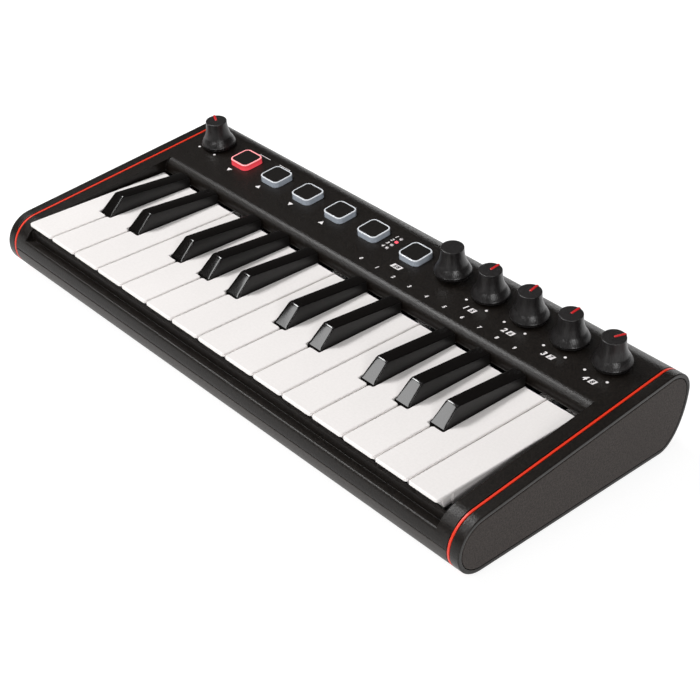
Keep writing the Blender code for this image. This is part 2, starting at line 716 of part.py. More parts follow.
def build_panel_parts(mats):
    half = BODY_X - WALL - 2 * MM
    low = -BOARD_DEPTH - BOARD_THICK
    plate = tilted_box(-half, half, BOARD_FRONT_RUN, BOARD_BACK_RUN, low, -BOARD_DEPTH)
    board = body("control_board", plate)
    for x in knob_places():
        w = POT_HALF
        pot = tilted_box(x - w, x + w, KNOB_RUN - w, KNOB_RUN + w, low + MM, -BODY_TOP)
        carve(board, body("t", pot), "UNION")
    finish(board, mats["board"])

    base = -BODY_TOP + FIT + PUSH_TRAVEL
    names = ["knob_volume", "knob_data", "knob_1", "knob_2", "knob_3", "knob_4"]
    for name, x in zip(names, knob_places()):
        profile = [(SHAFT_RADIUS, base), (SHAFT_RADIUS, KNOB_LIFT)] + knob_profile(KNOB_LIFT, KNOB_HEIGHT)
        if name == "knob_data":
            profile = knob_profile(KNOB_LIFT + DATA_RAISE, KNOB_HEIGHT + DATA_RAISE)
        knob = body(name, turned(x, KNOB_RUN, profile, 24))
        if name == "knob_data":
            bore = SHAFT_RADIUS + FIT
            carve(knob, body("t", turned(x, KNOB_RUN, [(bore, 0), (bore, BORE_TOP + DATA_RAISE)], 20)))
            shaft = turned(x, KNOB_RUN, [(SHAFT_RADIUS, base), (SHAFT_RADIUS, BORE_TOP + DATA_RAISE - FIT)], 20)
            rod = body("encoder_shaft", shaft, mats["steel"])
            pivot(rod, *on_panel(x, KNOB_RUN, 0))
        finish(knob, mats["knob"], 40)
        pivot(knob, *on_panel(x, KNOB_RUN, 0))

    for number, x in enumerate(button_places()):
        grow = FLANGE
        stem = -3 * MM
        levels = [(stem, -BOARD_DEPTH + FIT + BUTTON_TRAVEL), (stem, -WALL - 2.2 * MM)]
        levels += [(grow, -WALL - 2.2 * MM), (grow, -WALL - FIT), (0, -WALL - FIT)]
        levels += [(0, BUTTON_RISE - 0.3 * MM), (-0.3 * MM, BUTTON_RISE)]
        post = square_post(x, BUTTON_RUN, BUTTON_SIZE / 2, BUTTON_CORNER, levels)
        button = body("button_%d" % (number + 1), post)
        finish(button, mats["lit"] if number == 0 else mats["button"])
        pivot(button, *on_panel(x, BUTTON_RUN, 0))

    runs = lamp_places()
    back = -WALL - FIT
    plate = tilted_box(LAMP_X - 2.4 * MM, LAMP_X + 2.4 * MM, runs[0] - 2 * MM, runs[-1] + 2 * MM, back - 1.5 * MM, back)
    bar = body("lamp_bar", plate)
    for run in runs:
        w = LAMP_WIDE / 2
        d = LAMP_DEEP / 2
        prong = tilted_box(LAMP_X - w, LAMP_X + w, run - d, run + d, back - 0.5 * MM, -0.05 * MM)
        carve(bar, body("t", prong), "UNION")
    finish(bar, mats["lamp"])

    # Sockets in the back wall and the small board that carries them
    face = SOCKET_FACE
    low = SOCKET_BOARD_TOP - BOARD_THICK
    plate = box(JACK_X - SOCKET_MARGIN, USB_X + SOCKET_MARGIN, face - SOCKET_BOARD_DEEP, face - 2 * FIT,
                low, SOCKET_BOARD_TOP)
    body("socket_board", plate, mats["board"])
    w = JACK_HALF + MM
    jack = body("phone_jack", box(JACK_X - w, JACK_X + w, face - 13 * MM, face - FIT,
                                  SOCKET_Z - JACK_HALF, SOCKET_Z + JACK_HALF))
    carve(jack, body("t", backward(JACK_X, SOCKET_Z, JACK_RING, face - 2 * MM, CASE_DEPTH - 0.6 * MM)), "UNION")
    carve(jack, body("t", backward(JACK_X, SOCKET_Z, JACK_BORE, face - 11 * MM, CASE_DEPTH + MM)))
    finish(jack, mats["socket"])
    w = USB_WIDE / 2
    h = USB_HIGH / 2
    t = 0.5 * MM
    usb = body("usb_socket", box(USB_X - w, USB_X + w, face - 7 * MM, CASE_DEPTH - 1.6 * MM, USB_Z - h, USB_Z + h))
    hollow = box(USB_X - w + t, USB_X + w - t, face - 6 * MM, CASE_DEPTH + MM, USB_Z - h + t, USB_Z + h - t)
    carve(usb, body("t", hollow))
    tongue = box(USB_X - w + 1.4 * MM, USB_X + w - 1.4 * MM, face - 6.5 * MM, CASE_DEPTH - 2.6 * MM,
                 USB_Z - 0.35 * MM, USB_Z + 0.35 * MM)
    carve(usb, body("t", tongue), "UNION")
    finish(usb, mats["steel"])


def main():
    clear_scene()
    mats = {
        "case": material("black case plastic", (0.012, 0.011, 0.011), 0.45),
        "base": material("dark grey base plastic", (0.022, 0.02, 0.019), 0.55),
        "panel": material("grey textured end panel", (0.07, 0.065, 0.06), 0.6),
        "stripe": material("orange red stripe", (0.8, 0.045, 0.015), 0.4),
        "white": material("white key plastic", (0.82, 0.8, 0.79), 0.35),
        "black": material("black key plastic", (0.012, 0.011, 0.011), 0.2),
        "knob": material("knob plastic", (0.02, 0.019, 0.019), 0.45),
        "button": material("clear blue grey button", (0.45, 0.5, 0.56), 0.35),
        "lit": material("lit red button", (1.0, 0.12, 0.15), 0.35, glow=0.6),
        "lamp": material("lamp window", (0.75, 0.7, 0.7), 0.3),
        "rubber": material("black rubber", (0.015, 0.015, 0.015), 0.8),
        "frame": material("grey frame plastic", (0.35, 0.35, 0.36), 0.5),
        "steel": material("bright steel", (0.6, 0.6, 0.6), 0.3, metal=1.0),
        "board": material("green board", (0.02, 0.12, 0.05), 0.5),
        "socket": material("black socket plastic", (0.02, 0.02, 0.02), 0.5),
    }
    build_case(mats)
    build_ends(mats)
    build_keys(mats)
    build_frame(mats)
    build_panel_parts(mats)


main()
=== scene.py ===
import functools
import json
import math

import bmesh
import bpy
import numpy as np
from bpy.props import FloatProperty, FloatVectorProperty, PointerProperty
from bpy.types import Operator, Panel, PropertyGroup
from mathutils import Matrix, Vector


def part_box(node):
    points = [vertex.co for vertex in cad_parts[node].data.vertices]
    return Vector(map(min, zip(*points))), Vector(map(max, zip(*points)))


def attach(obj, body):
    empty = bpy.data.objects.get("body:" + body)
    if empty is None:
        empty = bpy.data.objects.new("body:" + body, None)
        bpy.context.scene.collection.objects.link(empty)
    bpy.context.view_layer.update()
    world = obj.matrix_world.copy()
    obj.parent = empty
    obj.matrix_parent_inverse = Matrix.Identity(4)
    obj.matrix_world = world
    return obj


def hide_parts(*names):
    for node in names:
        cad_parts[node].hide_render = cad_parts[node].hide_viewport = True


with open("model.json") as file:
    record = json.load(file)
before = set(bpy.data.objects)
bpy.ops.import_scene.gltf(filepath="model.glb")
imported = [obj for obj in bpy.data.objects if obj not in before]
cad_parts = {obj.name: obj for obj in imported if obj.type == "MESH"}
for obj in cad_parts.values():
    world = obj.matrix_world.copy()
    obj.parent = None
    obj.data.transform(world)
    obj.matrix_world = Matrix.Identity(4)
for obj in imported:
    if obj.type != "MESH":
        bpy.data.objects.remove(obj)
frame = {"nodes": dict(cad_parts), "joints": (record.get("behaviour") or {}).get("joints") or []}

bl_info = {
    "name": "Mini keyboard controller",
    "version": (1, 0, 0),
    "blender": (4, 5, 0),
    "location": "View3D > Sidebar > Keyboard",
    "description": "Dresses the packed frame of a mini keyboard with 25 keys, six knobs and six buttons",
    "category": "Object",
}

MM = 0.001

# Main sizes, read from the frame
CAP_LOW, CAP_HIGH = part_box("end_cap_right")
HALF_WIDTH = CAP_HIGH[0]
CASE_DEPTH = CAP_HIGH[1] - CAP_LOW[1]
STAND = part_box("bottom_case")[0][2]
STRIPE_LOW, STRIPE_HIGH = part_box("stripe_right")
PANEL_LOW, PANEL_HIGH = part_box("end_panel_right")
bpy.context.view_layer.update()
# How far inside the outline the hidden inner faces of the caps and end panels lie
INNER = 12 * MM

WHITE_KEYS = ["white_key_%02d" % (k + 1) for k in range(15)]
BLACK_KEYS = ["black_key_%02d" % (k + 1) for k in range(10)]
BUTTONS = ["button_%d" % (k + 1) for k in range(6)]
TURNING_KNOBS = ["knob_volume", "knob_1", "knob_2", "knob_3", "knob_4"]
LIT_BUTTON = "button_1"
LIT_LAMP = 2


def middle(node):
    """Middle of a frame node across the keyboard."""
    low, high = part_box(node)
    return (low[0] + high[0]) / 2


def linear(code):
    """Linear colour from an sRGB hex value: a power curve above 0.04045, a straight line below it."""
    levels = np.array([int(code[k:k + 2], 16) for k in (1, 3, 5)]) / 255
    curve = ((levels + 0.055) / 1.055) ** 2.4
    return tuple(float(v) for v in np.where(levels <= 0.04045, levels / 12.92, curve))


# Sizes and colours that can be changed in the sidebar

def length(description, millimetres):
    return FloatProperty(description=description, default=millimetres * MM, unit="LENGTH")


def angle(description, degrees):
    return FloatProperty(description=description, default=math.radians(degrees), subtype="ANGLE")


def colour(description, code):
    return FloatVectorProperty(description=description, default=linear(code), subtype="COLOR", size=3,
                               min=0.0, max=1.0)


class CaseSizes(PropertyGroup):
    """Outline of the case and of its ends."""
    slope: angle("Slope of the control panel towards the player", 6.2)
    front_radius: length("Round front of the case", 14.6)
    rear_radius: length("Round upper back edge", 13.8)
    under_radius: length("Round lower back edge", 15.6)
    panel_depth: length("From the lip behind the keys to the back", 55.3)
    edge: length("Broken edges of the two shells", 0.3)
    ledge: length("Height of the ledge in front of the keys", 20.8)
    ledge_edge: length("Rounding of the long front edge of the ledge", 0.7)
    cap_edge: length("Rounding of the outer edge of the end caps", 0.4)
    cap_ring: length("Width of the flat ring round the end panel", 1.9)
    ring: length("How deep the stripe reaches into the end", 4.2)


class KeySizes(PropertyGroup):
    """Shapes of the white and the black keys."""
    plate: length("Thickness of a white key's top plate", 1.6)
    round: length("Rounding of a white key's top edge", 0.7)
    corner: length("Rounding of the corners seen from above", 1.5)
    skirt_in: length("How far the skirt stands in under the plate's front", 0.9)
    wall_in: length("How far the side walls stand in behind the skirt", 0.12)
    skirt_long: length("From a white key's front to where its side walls begin", 9.6)
    end_gap: length("From the back end of the white keys to the lip", 1.1)
    notch_gap: length("Gap between a white key and a black one", 0.5)
    black_rise: length("Height of a black key's brow over the white keys", 8.1)
    black_slant: length("Depth of the slanting front of a black key", 8.7)
    black_drop: length("Fall of a black key's top towards its back", 3.1)
    black_taper: length("How far each side leans in up to the brow", 0.67)
    black_edge: length("Rounding of a black key's upper edges", 0.7)


class ControlSizes(PropertyGroup):
    """Knobs, buttons and lamps on the sloping panel."""
    knob_in: length("From the case's back to the knobs' axes", 24.7)
    knob_top: length("Radius of a knob's flat top", 5.7)
    knob_base: length("Radius of a knob's flared foot", 9.2)
    knob_height: length("From the panel to a knob's flat top", 15.15)
    knob_lift: length("Gap between the panel and a knob's foot", 0.9)
    knob_collar: length("Height of the collar under the flared foot", 1.3)
    data_raise: length("How much higher the endless knob stands", 1.2)
    pointer_wide: length("Width of the red pointer bar", 1.3)
    button_in: length("From the case's back to the buttons' middles", 26.0)
    button_size: length("Side of the square button", 13.3)
    button_corner: length("Rounding of the button's corners", 3.0)
    button_rise: length("From the panel to the top of the button", 2.9)
    button_rim: length("Width of the clear rim round the dark top", 0.75)
    lamp_in: length("From the case's back to the first lamp", 30.3)
    lamp_pitch: length("From lamp to lamp", 3.25)
    lamp_wide: length("Width of a lamp window", 1.7)
    lamp_deep: length("Depth of a lamp window", 1.4)


class Colours(PropertyGroup):
    """Base colours of the finishes."""
    case: colour("Black moulded plastic of the upper shell", "#15110e")
    base: colour("Dark grey moulded plastic of the lower shell", "#2d2825")
    end_panel: colour("Grey textured end plates", "#37312e")
    stripe: colour("Orange-red ring at each end", "#e0300f")
    white_key: colour("White moulded plastic", "#efebe9")
    black_key: colour("Black moulded plastic", "#100e0d")
    knob: colour("Soft black plastic", "#1c1a1a")
    pointer: colour("Red pointer on the knobs", "#c4191d")
    button: colour("Clear plastic over an unlit lamp", "#c3ccd8")
    lit: colour("Clear plastic over a red lamp", "#ff4a55")
    button_top: colour("Dark top plate of the buttons", "#120f0d")
    mark: colour("White print on the panel", "#e8e4e4")


class StageSettings(PropertyGroup):
    """Camera and floor of the studio."""
    azimuth: angle("Camera's turn round the keyboard from its front", 46.499)
    elevation: angle("Camera's height over the horizon", 34.277)
    roll: angle("Camera's turn about its own axis", 1.56)
    distance: length("From the camera to the aim point", 721.6)
    aim: FloatVectorProperty(description="Point in the middle of the picture",
                             default=(0.04141, -0.02058, 0.03), subtype="TRANSLATION", size=3)
    lens: FloatProperty(description="Focal length in millimetres on a 36 mm sensor", default=81.34)
    floor_level: length("Height of the floor under the feet", 0.0)


def case_sizes():
    return bpy.context.scene.case_sizes


def key_sizes():
    return bpy.context.scene.key_sizes


def colours():
    return bpy.context.scene.keyboard_colours


def keys_end():
    """Back end of the white keys' plates, from the front of the case."""
    return CASE_DEPTH - case_sizes().panel_depth - key_sizes().end_gap


def linked(name, data):
    """New object in the scene."""
    obj = bpy.data.objects.new(name, data)
    bpy.context.scene.collection.objects.link(obj)
    return obj


# Meshes from arrays

def fan(points, corners):
    """Sum of the signed volumes from the origin to a fan of triangles over each face."""
    a = points[corners[:, :1]]
    b = points[corners[:, 1:-1]]
    c = points[corners[:, 2:]]
    return float((a * np.cross(b, c)).sum())


def solid(name, points, quads, lids=()):
    """Closed mesh object from an array of points, an array of four-sided faces and a few flat lids.

    Faces are turned outwards all together when the volume they enclose comes out negative."""
    lids = [np.asarray(lid) for lid in lids]
    if fan(points, quads) + sum(fan(points, lid[None, :]) for lid in lids) < 0:
        quads = quads[:, ::-1]
        lids = [lid[::-1] for lid in lids]
    mesh = bpy.data.meshes.new(name)
    mesh.from_pydata(points.tolist(), [], [*quads.tolist(), *[lid.tolist() for lid in lids]])
    mesh.validate()
    return linked(name, mesh)


def grid(rows, columns, ring=False):
    """Four-sided faces of a grid of points that closes round its columns, and round its rows for a ring."""
    row = np.arange(rows if ring else rows - 1)[:, None]
    column = np.arange(columns)[None, :]
    after = (row + 1) % rows
    beside = (column + 1) % columns
    faces = [row * columns + column, row * columns + beside,
             after * columns + beside, after * columns + column]
    return np.stack([np.broadcast_to(f, (len(row), columns)) for f in faces], -1).reshape(-1, 4)


def lofted(name, loops, ring=False):
    """Closed solid through an array of loops (rows, columns, 3): its end loops are lids, and a ring
    closes on itself."""
    rows, columns = loops.shape[:2]
    quads = grid(rows, columns, ring)
    lids = [] if ring else [np.arange(columns), (rows - 1) * columns + np.arange(columns)]
    return solid(name, loops.reshape(-1, 3), quads, lids)


def dress(obj, body, finishes, nodes=(), angle=40):
    """Gives a piece its shading, its finishes, the body it rides on and the frame nodes it stands for."""
    obj.data.materials.clear()
    for finish in finishes:
        obj.data.materials.append(finish_of(finish))
    obj.data.shade_smooth()
    obj.data.set_sharp_from_angle(angle=math.radians(angle))
    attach(obj, body)
    if nodes:
        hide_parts(*nodes)
    return obj


def join(name, objects, weld=0.0):
    """One object from several: their meshes are put together, corners closer than the weld distance become
    one, and the separate objects go with their meshes."""
    bm = bmesh.new()
    for obj in objects:
        bm.from_mesh(obj.data)
    if weld:
        bmesh.ops.remove_doubles(bm, verts=bm.verts, dist=weld)
    mesh = bpy.data.meshes.new(name)
    bm.to_mesh(mesh)
    bm.free()
    for obj in objects:
        bpy.data.meshes.remove(obj.data)
    return linked(name, mesh)


def placed(x, y, z):
    """Points measured from the case's front bottom edge, moved to the frame's own origin."""
    x, y, z = np.broadcast_arrays(x, y, z)
    return np.stack([x, y - CASE_DEPTH / 2, z + STAND], -1)


def panel_start(case):
    """Height of the panel's plane, carried on to the front of the case."""
    r = case.front_radius
    return r * (1 + 1 / math.cos(case.slope)) - math.tan(case.slope) * r


def on_panel(x, run, rise):
    """Points given by a run up the sloping panel and a rise square to it."""
    case = case_sizes()
    base = panel_start(case)
    y = run * math.cos(case.slope) - rise * math.sin(case.slope)
    z = base + run * math.sin(case.slope) + rise * math.cos(case.slope)
    return placed(x, y, z)


def arc(start, stop, steps):
    return np.linspace(start, stop, steps + 1)


def side_outline(insets):
    """Outline of the case seen from the side, one loop of (y, z) for each inset.

    A round front of 174 degrees, a straight top, a round upper back edge and an elliptical lower one,
    every point drawn towards its own centre by the inset."""
    case = case_sizes()
    inset = np.asarray(insets, float)[:, None] + 0.02 * MM
    front = arc(-math.pi / 2, -math.pi / 2 - (math.pi - case.slope), 40)[None, :]
    back = arc(math.pi / 2 + case.slope, 0, 22)[None, :]
    under = arc(0, -math.pi / 2, 22)[None, 1:]
    r = case.front_radius
    back_y = CASE_DEPTH - case.rear_radius
    back_z = panel_start(case) + math.tan(case.slope) * back_y - case.rear_radius / math.cos(case.slope)
    low_y = CASE_DEPTH - case.under_radius
    y = np.hstack([r + (r - inset) * np.cos(front), back_y + (case.rear_radius - inset) * np.cos(back),
                   low_y + (case.under_radius - inset) * np.cos(under)])
    z = np.hstack([r + (r - inset) * np.sin(front), back_z + (case.rear_radius - inset) * np.sin(back),
                   back_z + (back_z - inset) * np.sin(under)])
    return y, z


def round_the_side(side, profile):
    """Profile of (x, inset) pairs carried round the side outline of the case, on the left or right side."""
    profile = np.asarray(profile, float)
    y, z = side_outline(profile[:, 1])
    return placed(side * profile[:, :1], y, z)


def round_edge(corner, toward_a, toward_b, radius, steps=4):
    """Quarter round between two directions that leave a corner square to each other."""
    turn = arc(0, math.pi / 2, steps)[:, None]
    corner, a, b = (np.asarray(v, float) for v in (corner, toward_a, toward_b))
    return corner + radius * (a * (1 - np.sin(turn)) + b * (1 - np.cos(turn)))


# Procedural finishes

def material(name):
    """New material with its shader and its Object coordinates."""
    made = bpy.data.materials.new(name)
    made.use_nodes = True
    return made, made.node_tree.nodes["Principled BSDF"], add(made, "TexCoord").outputs["Object"]


def set_up(made, node, settings, links):
    """Sets a node's properties, sockets and colour stops, and links its inputs to outputs, or to nodes'
    first outputs."""
    for key, value in settings.items():
        if key == "stops":
            elements = node.color_ramp.elements
            for element, (place, tint) in zip(elements, (value[0], value[-1])):
                element.position, element.color = place, tint
            for place, tint in value[1:-1]:
                elements.new(place).color = tint
        elif isinstance(key, str) and hasattr(node, key):
            setattr(node, key, value)
        else:
            node.inputs[key].default_value = value
    for key, source in links.items():
        made.node_tree.links.new(getattr(source, "outputs", [source])[0], node.inputs[key])
    return node


def add(made, kind, settings=None, links=None):
    """Adds one node with its settings and links."""
    return set_up(made, made.node_tree.nodes.new("ShaderNode" + kind), settings or {}, links or {})


def shade(tint, factor):
    return (*[min(1.0, channel * factor) for channel in tint], 1.0)


def grey(level):
    return level, level, level, 1.0


def grained(name, tint, grain, depth, rough, spread=0.06, tone=0.25, specular=0.5):
    """Moulded plastic with a spark-eroded grain, its size and depth in millimetres: noise of the grain's
    size lifts the surface, varies its gloss and its tone a little, and a wider noise gives the faint
    unevenness of a large moulding. A real grain of this kind, about 0.1 mm wide, is too fine to show in the
    render, so every grain is drawn coarser, at the size that is given."""
    grain, depth = grain * MM, depth * MM
    made, shader, place = material(name)
    fine = add(made, "TexNoise", {"Scale": 1 / grain, "Detail": 3.0, "Roughness": 0.6}, {"Vector": place})
    wide = add(made, "TexNoise", {"Scale": 1 / (60 * grain), "Detail": 2.0}, {"Vector": place})
    uneven = add(made, "MapRange", {"To Min": 0.8, "To Max": 1.2}, {"Value": wide})
    stops = [(0.35, shade(tint, 1 - tone)), (0.65, shade(tint, 1 + tone))]
    tones = add(made, "ValToRGB", {"stops": stops}, {"Fac": fine})
    mixed = add(made, "Mix", {"data_type": "RGBA", "blend_type": "MULTIPLY", "Factor": 0.25},
                {6: tones, 7: uneven})
    gloss = add(made, "MapRange", {"To Min": rough - spread, "To Max": rough + spread}, {"Value": fine})
    bump = add(made, "Bump", {"Strength": 1.0, "Distance": depth}, {"Height": fine})
    set_up(made, shader, {"Specular IOR Level": specular},
           {"Base Color": mixed.outputs[2], "Roughness": gloss, "Normal": bump})
    return made


def moulded_case_abs():
    # Satin black with a fine spark grain that breaks the highlights into a soft sheen
    return grained("moulded black ABS", colours().case, 0.9, 0.12, 0.34, tone=0.5, specular=0.26)


def moulded_base_abs():
    # The lower shell is duller, greyer and more coarsely grained than the upper one
    return grained("grained dark grey ABS", colours().base, 0.9, 0.08, 0.5, tone=0.5, specular=0.4)


def textured_end_abs():
    # Matt grey plate with an even leathery grain that shows as fine speckles
    return grained("textured grey ABS", colours().end_panel, 0.8, 0.1, 0.6, tone=0.45, specular=0.18)


def stripe_abs():
    # Smooth orange-red plastic ring, its colour even and slightly glossy
    return grained("smooth orange red ABS", colours().stripe, 0.8, 0.004, 0.38, tone=0.06)


def white_key_abs():
    # Clean white moulding with a semi-gloss skin and barely visible flow marks
    return grained("polished white ABS", colours().white_key, 1.2, 0.004, 0.36, tone=0.02)


def black_key_matt():
    # Sides of the black keys: drawn from the mould with a dull skin
    return grained("matt black ABS", colours().black_key, 0.5, 0.02, 0.4, tone=0.25)


def black_key_gloss():
    # Tops, edges and slanting fronts of the black keys: polished, so that the room mirrors in them
    return grained("polished black ABS", colours().black_key, 1.5, 0.001, 0.12, spread=0.02, tone=0.1)


def knob_plastic():
    """Soft-touch black knob: noise stretched along the axis gives drawn lines, even noise the sparkle. Both
    are too fine to show in the render, so they are drawn coarser, half a millimetre wide."""
    made, shader, place = material("soft touch black plastic")
    drawn = add(made, "Mapping", {"Scale": (1.0, 1.0, 0.12)}, {"Vector": place})
    lines = add(made, "TexNoise", {"Scale": 1 / (0.5 * MM), "Detail": 2.0}, {"Vector": drawn})
    spark = add(made, "TexNoise", {"Scale": 1 / (0.55 * MM), "Detail": 2.0}, {"Vector": place})
    both = add(made, "Math", {"operation": "ADD"}, {0: lines, 1: spark})
    stops = [(0.35, shade(colours().knob, 0.7)), (0.7, shade(colours().knob, 1.5))]
    tones = add(made, "ValToRGB", {"stops": stops}, {"Fac": lines})
    bump = add(made, "Bump", {"Strength": 1.0, "Distance": 0.08 * MM}, {"Height": both})
    gloss = add(made, "MapRange", {"To Min": 0.24, "To Max": 0.36}, {"Value": spark})
    set_up(made, shader, {}, {"Base Color": tones, "Roughness": gloss, "Normal": bump})
    return made


def pointer_plastic():
    # Red insert, smooth and a little glossy
    return grained("smooth red plastic", colours().pointer, 0.5, 0.003, 0.35, tone=0.08)


def clear_button(name, tint, glow, foot=0.0, rim=0.0):
    """Milky clear plastic, clouded a little, with light painted in by the height over the sloping panel: a
    painted glow that brightens the foot near the lamp, painted shade above it and a pale painted highlight
    at the rim; a smooth glossy skin, glowing when lit."""
    made, shader, place = material(name)
    cloud = add(made, "TexNoise", {"Scale": 1 / (2.5 * MM), "Detail": 2.0}, {"Vector": place})
    slope = case_sizes().slope
    upright = add(made, "VectorMath",
                  {"operation": "DOT_PRODUCT", 1: (0.0, -math.sin(slope), math.cos(slope))}, {0: place})
    # The same height for every point of the panel, taken here at one of them
    level = float(np.dot(on_panel(0.0, 120 * MM, 0.0), upright.inputs[1].default_value))
    top = level + bpy.context.scene.control_sizes.button_rise
    rise = add(made, "MapRange", {"From Min": level, "From Max": top}, {"Value": upright.outputs["Value"]})
    pale = (*[channel + rim * (1 - channel) for channel in tint], 1.0)
    # Painted light: the foot is painted brighter, the middle painted darker and the rim painted pale as a
    # highlight
    stops = [(0.0, shade(tint, 1 + foot)), (0.8, shade(tint, 1 - foot)), (0.93, pale)]
    tones = add(made, "ValToRGB", {"stops": stops}, {"Fac": rise})
    clouds = add(made, "MapRange", {"To Min": 0.88, "To Max": 1.12}, {"Value": cloud})
    tones_with_painted_light = add(made, "Mix", {"data_type": "RGBA", "blend_type": "MULTIPLY", "Factor": 1.0},
                  {6: tones, 7: clouds}).outputs[2]
    set_up(made, shader, {"Roughness": 0.25, "Coat Weight": 0.6, "Coat Roughness": 0.08},
           {"Base Color": tones_with_painted_light})
    if glow:
        set_up(made, shader, {"Emission Strength": glow}, {"Emission Color": tones_with_painted_light})
    return made


def button_top_plastic():
    # Warm black plate let into each button, satin with a fine grain
    return grained("satin warm black plastic", colours().button_top, 0.6, 0.02, 0.36, tone=0.4,
                   specular=0.28)


def white_print():
    # Pad-printed white ink, matt, a little thinner where it crosses the grain
    return grained("white pad print", colours().mark, 0.35, 0.004, 0.6, tone=0.1)


def black_print():
    # Bare panel showing through the white boxes
    return grained("bare panel in print", colours().case, 0.35, 0.004, 0.6, tone=0.2)


def black_rubber():
    # Matt moulded rubber, slightly dusty
    return grained("moulded black rubber", linear("#191817"), 0.6, 0.04, 0.82, tone=0.3)


def frame_plastic():
    # Plain grey inner moulding, unpolished
    return grained("grey ABS frame", linear("#6e6e70"), 0.8, 0.03, 0.55, tone=0.12)


def drawn_steel():
    """Bright steel with lines along its length: noise stretched by forty along the keyboard. The real lines
    are too fine to show in the render, so they are drawn coarser, 0.2 mm apart."""
    made, shader, place = material("drawn steel")
    drawn = add(made, "Mapping", {"Scale": (0.025, 1.0, 1.0)}, {"Vector": place})
    lines = add(made, "TexNoise", {"Scale": 1 / (0.2 * MM), "Detail": 2.0}, {"Vector": drawn})
    gloss = add(made, "MapRange", {"To Min": 0.22, "To Max": 0.42}, {"Value": lines})
    stops = [(0.0, shade(linear("#a8a8aa"), 0.9)), (1.0, shade(linear("#b8b8ba"), 1.0))]
    tones = add(made, "ValToRGB", {"stops": stops}, {"Fac": lines})
    set_up(made, shader, {"Metallic": 1.0}, {"Base Color": tones, "Roughness": gloss})
    return made


def circuit_board():
    # Green solder mask over glass cloth, slightly glossy and mottled
    return grained("solder masked board", linear("#1c5a34"), 1.0, 0.01, 0.4, tone=0.25)


def socket_plastic():
    # Black moulded socket housing, smoother than the case
    return grained("black socket nylon", linear("#1a1a1a"), 0.5, 0.01, 0.45, tone=0.2)


@functools.cache
def finish_of(make):
    """The material that a function makes, made only once."""
    return make()


def unlit_button():
    # Clear caps look pale blue-grey while their lamps are off, with a faint painted glow at the foot and a
    # painted highlight at the rim
    return clear_button("clear polycarbonate", colours().button, 0.0, 0.05, 0.5)


def lit_button():
    # The red lamp under the first cap makes all of it glow, with a painted glow brighter at the foot and a
    # painted highlight at the rim
    return clear_button("red lit polycarbonate", colours().lit, 0.5, 0.25, 0.3)


def unlit_lamp():
    # Small frosted window, off
    return clear_button("frosted lamp window", linear("#c9c3c4"), 0.0)


def lit_lamp():
    # Small frosted window over a red lamp
    return clear_button("red lit lamp window", linear("#ff5a6a"), 0.9)


# Pieces

class KEYBOARD_OT_shells(Operator):
    """Upper and lower shell: copies of the frame's solids with merged faces and broken edges"""
    bl_idname = "keyboard.shells"
    bl_label = "Shells"

    def execute(self, context):
        for node, name, finish, slot in (("top_case", "upper_shell", moulded_case_abs, "case_plastic"),
                                         ("bottom_case", "lower_shell", moulded_base_abs, "base_plastic")):
            bm = bmesh.new()
            bm.from_mesh(frame["nodes"][node].data)
            bmesh.ops.remove_doubles(bm, verts=bm.verts, dist=0.002 * MM)
            bmesh.ops.dissolve_limit(bm, angle_limit=math.radians(0.2), verts=bm.verts, edges=bm.edges)
            weigh_edges(bm, case_sizes())
            mesh = bpy.data.meshes.new(name)
            bm.to_mesh(mesh)
            bm.free()
            obj = linked(name, mesh)
            dress(obj, "case", [finish], [node], 30)
            bevel = obj.modifiers.new("broken edges", "BEVEL")
            bevel.width = case_sizes().ledge_edge
            bevel.segments = 4
            bevel.limit_method = "WEIGHT"
            bevel.use_clamp_overlap = False
            bevel.miter_outer = "MITER_ARC"
            weighted = obj.modifiers.new("flat faces", "WEIGHTED_NORMAL")
            weighted.keep_sharp = False
        return {"FINISHED"}


def weigh_edges(bm, case):
    """Bevel weights: full on the ledge's long front edge, which lies where the round front reaches the
    ledge's height, next to none under the keys' fronts, and in proportion to the broken edge on all other
    edges that turn by over 28 degrees."""
    weight = bm.edges.layers.float.new("bevel_weight_edge")
    above = case.ledge - case.front_radius
    y = case.front_radius - math.sqrt(case.front_radius ** 2 - above ** 2) - CASE_DEPTH / 2
    z = case.ledge + STAND
    for edge in bm.edges:
        if edge.is_manifold and edge.calc_face_angle() > math.radians(28):
            near = all(math.hypot(v.co.y - y, v.co.z - z) < 0.15 * MM for v in edge.verts)
            hidden = all(v.co.y < y + 15 * MM and z + MM < v.co.z < z + 6 * MM for v in edge.verts)
            edge[weight] = 1.0 if near else 0.1 if hidden else case.edge / case.ledge_edge


def both_ends(profile, name, node, finish, ring=False):
    """Carries a profile round the left and the right end of the case."""
    for side, word in ((-1, "_left"), (1, "_right")):
        obj = lofted(name + word, round_the_side(side, profile), ring)
        dress(obj, "case", [finish], [node + word])


class KEYBOARD_OT_end_caps(Operator):
    """End caps: a profile with a spigot, a rounded edge and a recess, carried round the side outline"""
    bl_idname = "keyboard.end_caps"
    bl_label = "End caps"

    def execute(self, context):
        case = case_sizes()
        inner = STRIPE_HIGH[0] + 0.3 * MM
        outer = HALF_WIDTH - 0.02 * MM
        plug = case.ring + 0.3 * MM
        seat = PANEL_LOW[0] - 0.3 * MM
        recess = case.cap_ring + 0.1 * MM
        profile = np.vstack([
            [[STRIPE_LOW[0], INNER], [STRIPE_LOW[0], plug], [inner, plug]],
            round_edge((inner, 0), (0, 1), (1, 0), 0.25 * MM),
            [[inner + 1.0 * MM, 0], [HALF_WIDTH - case.cap_edge - 0.6 * MM, 0]],
            round_edge((outer, 0), (-1, 0), (0, 1), case.cap_edge, 6),
            [[outer, case.cap_edge + 0.3 * MM], [outer, case.cap_ring - 0.15 * MM]],
            [[HALF_WIDTH - 0.1 * MM, recess - 0.03 * MM], [HALF_WIDTH - 0.3 * MM, recess]],
            [[seat + 0.05 * MM, recess], [seat, recess + 0.1 * MM], [seat, INNER]],
        ])
        both_ends(profile, "cap", "end_cap", moulded_case_abs)
        return {"FINISHED"}


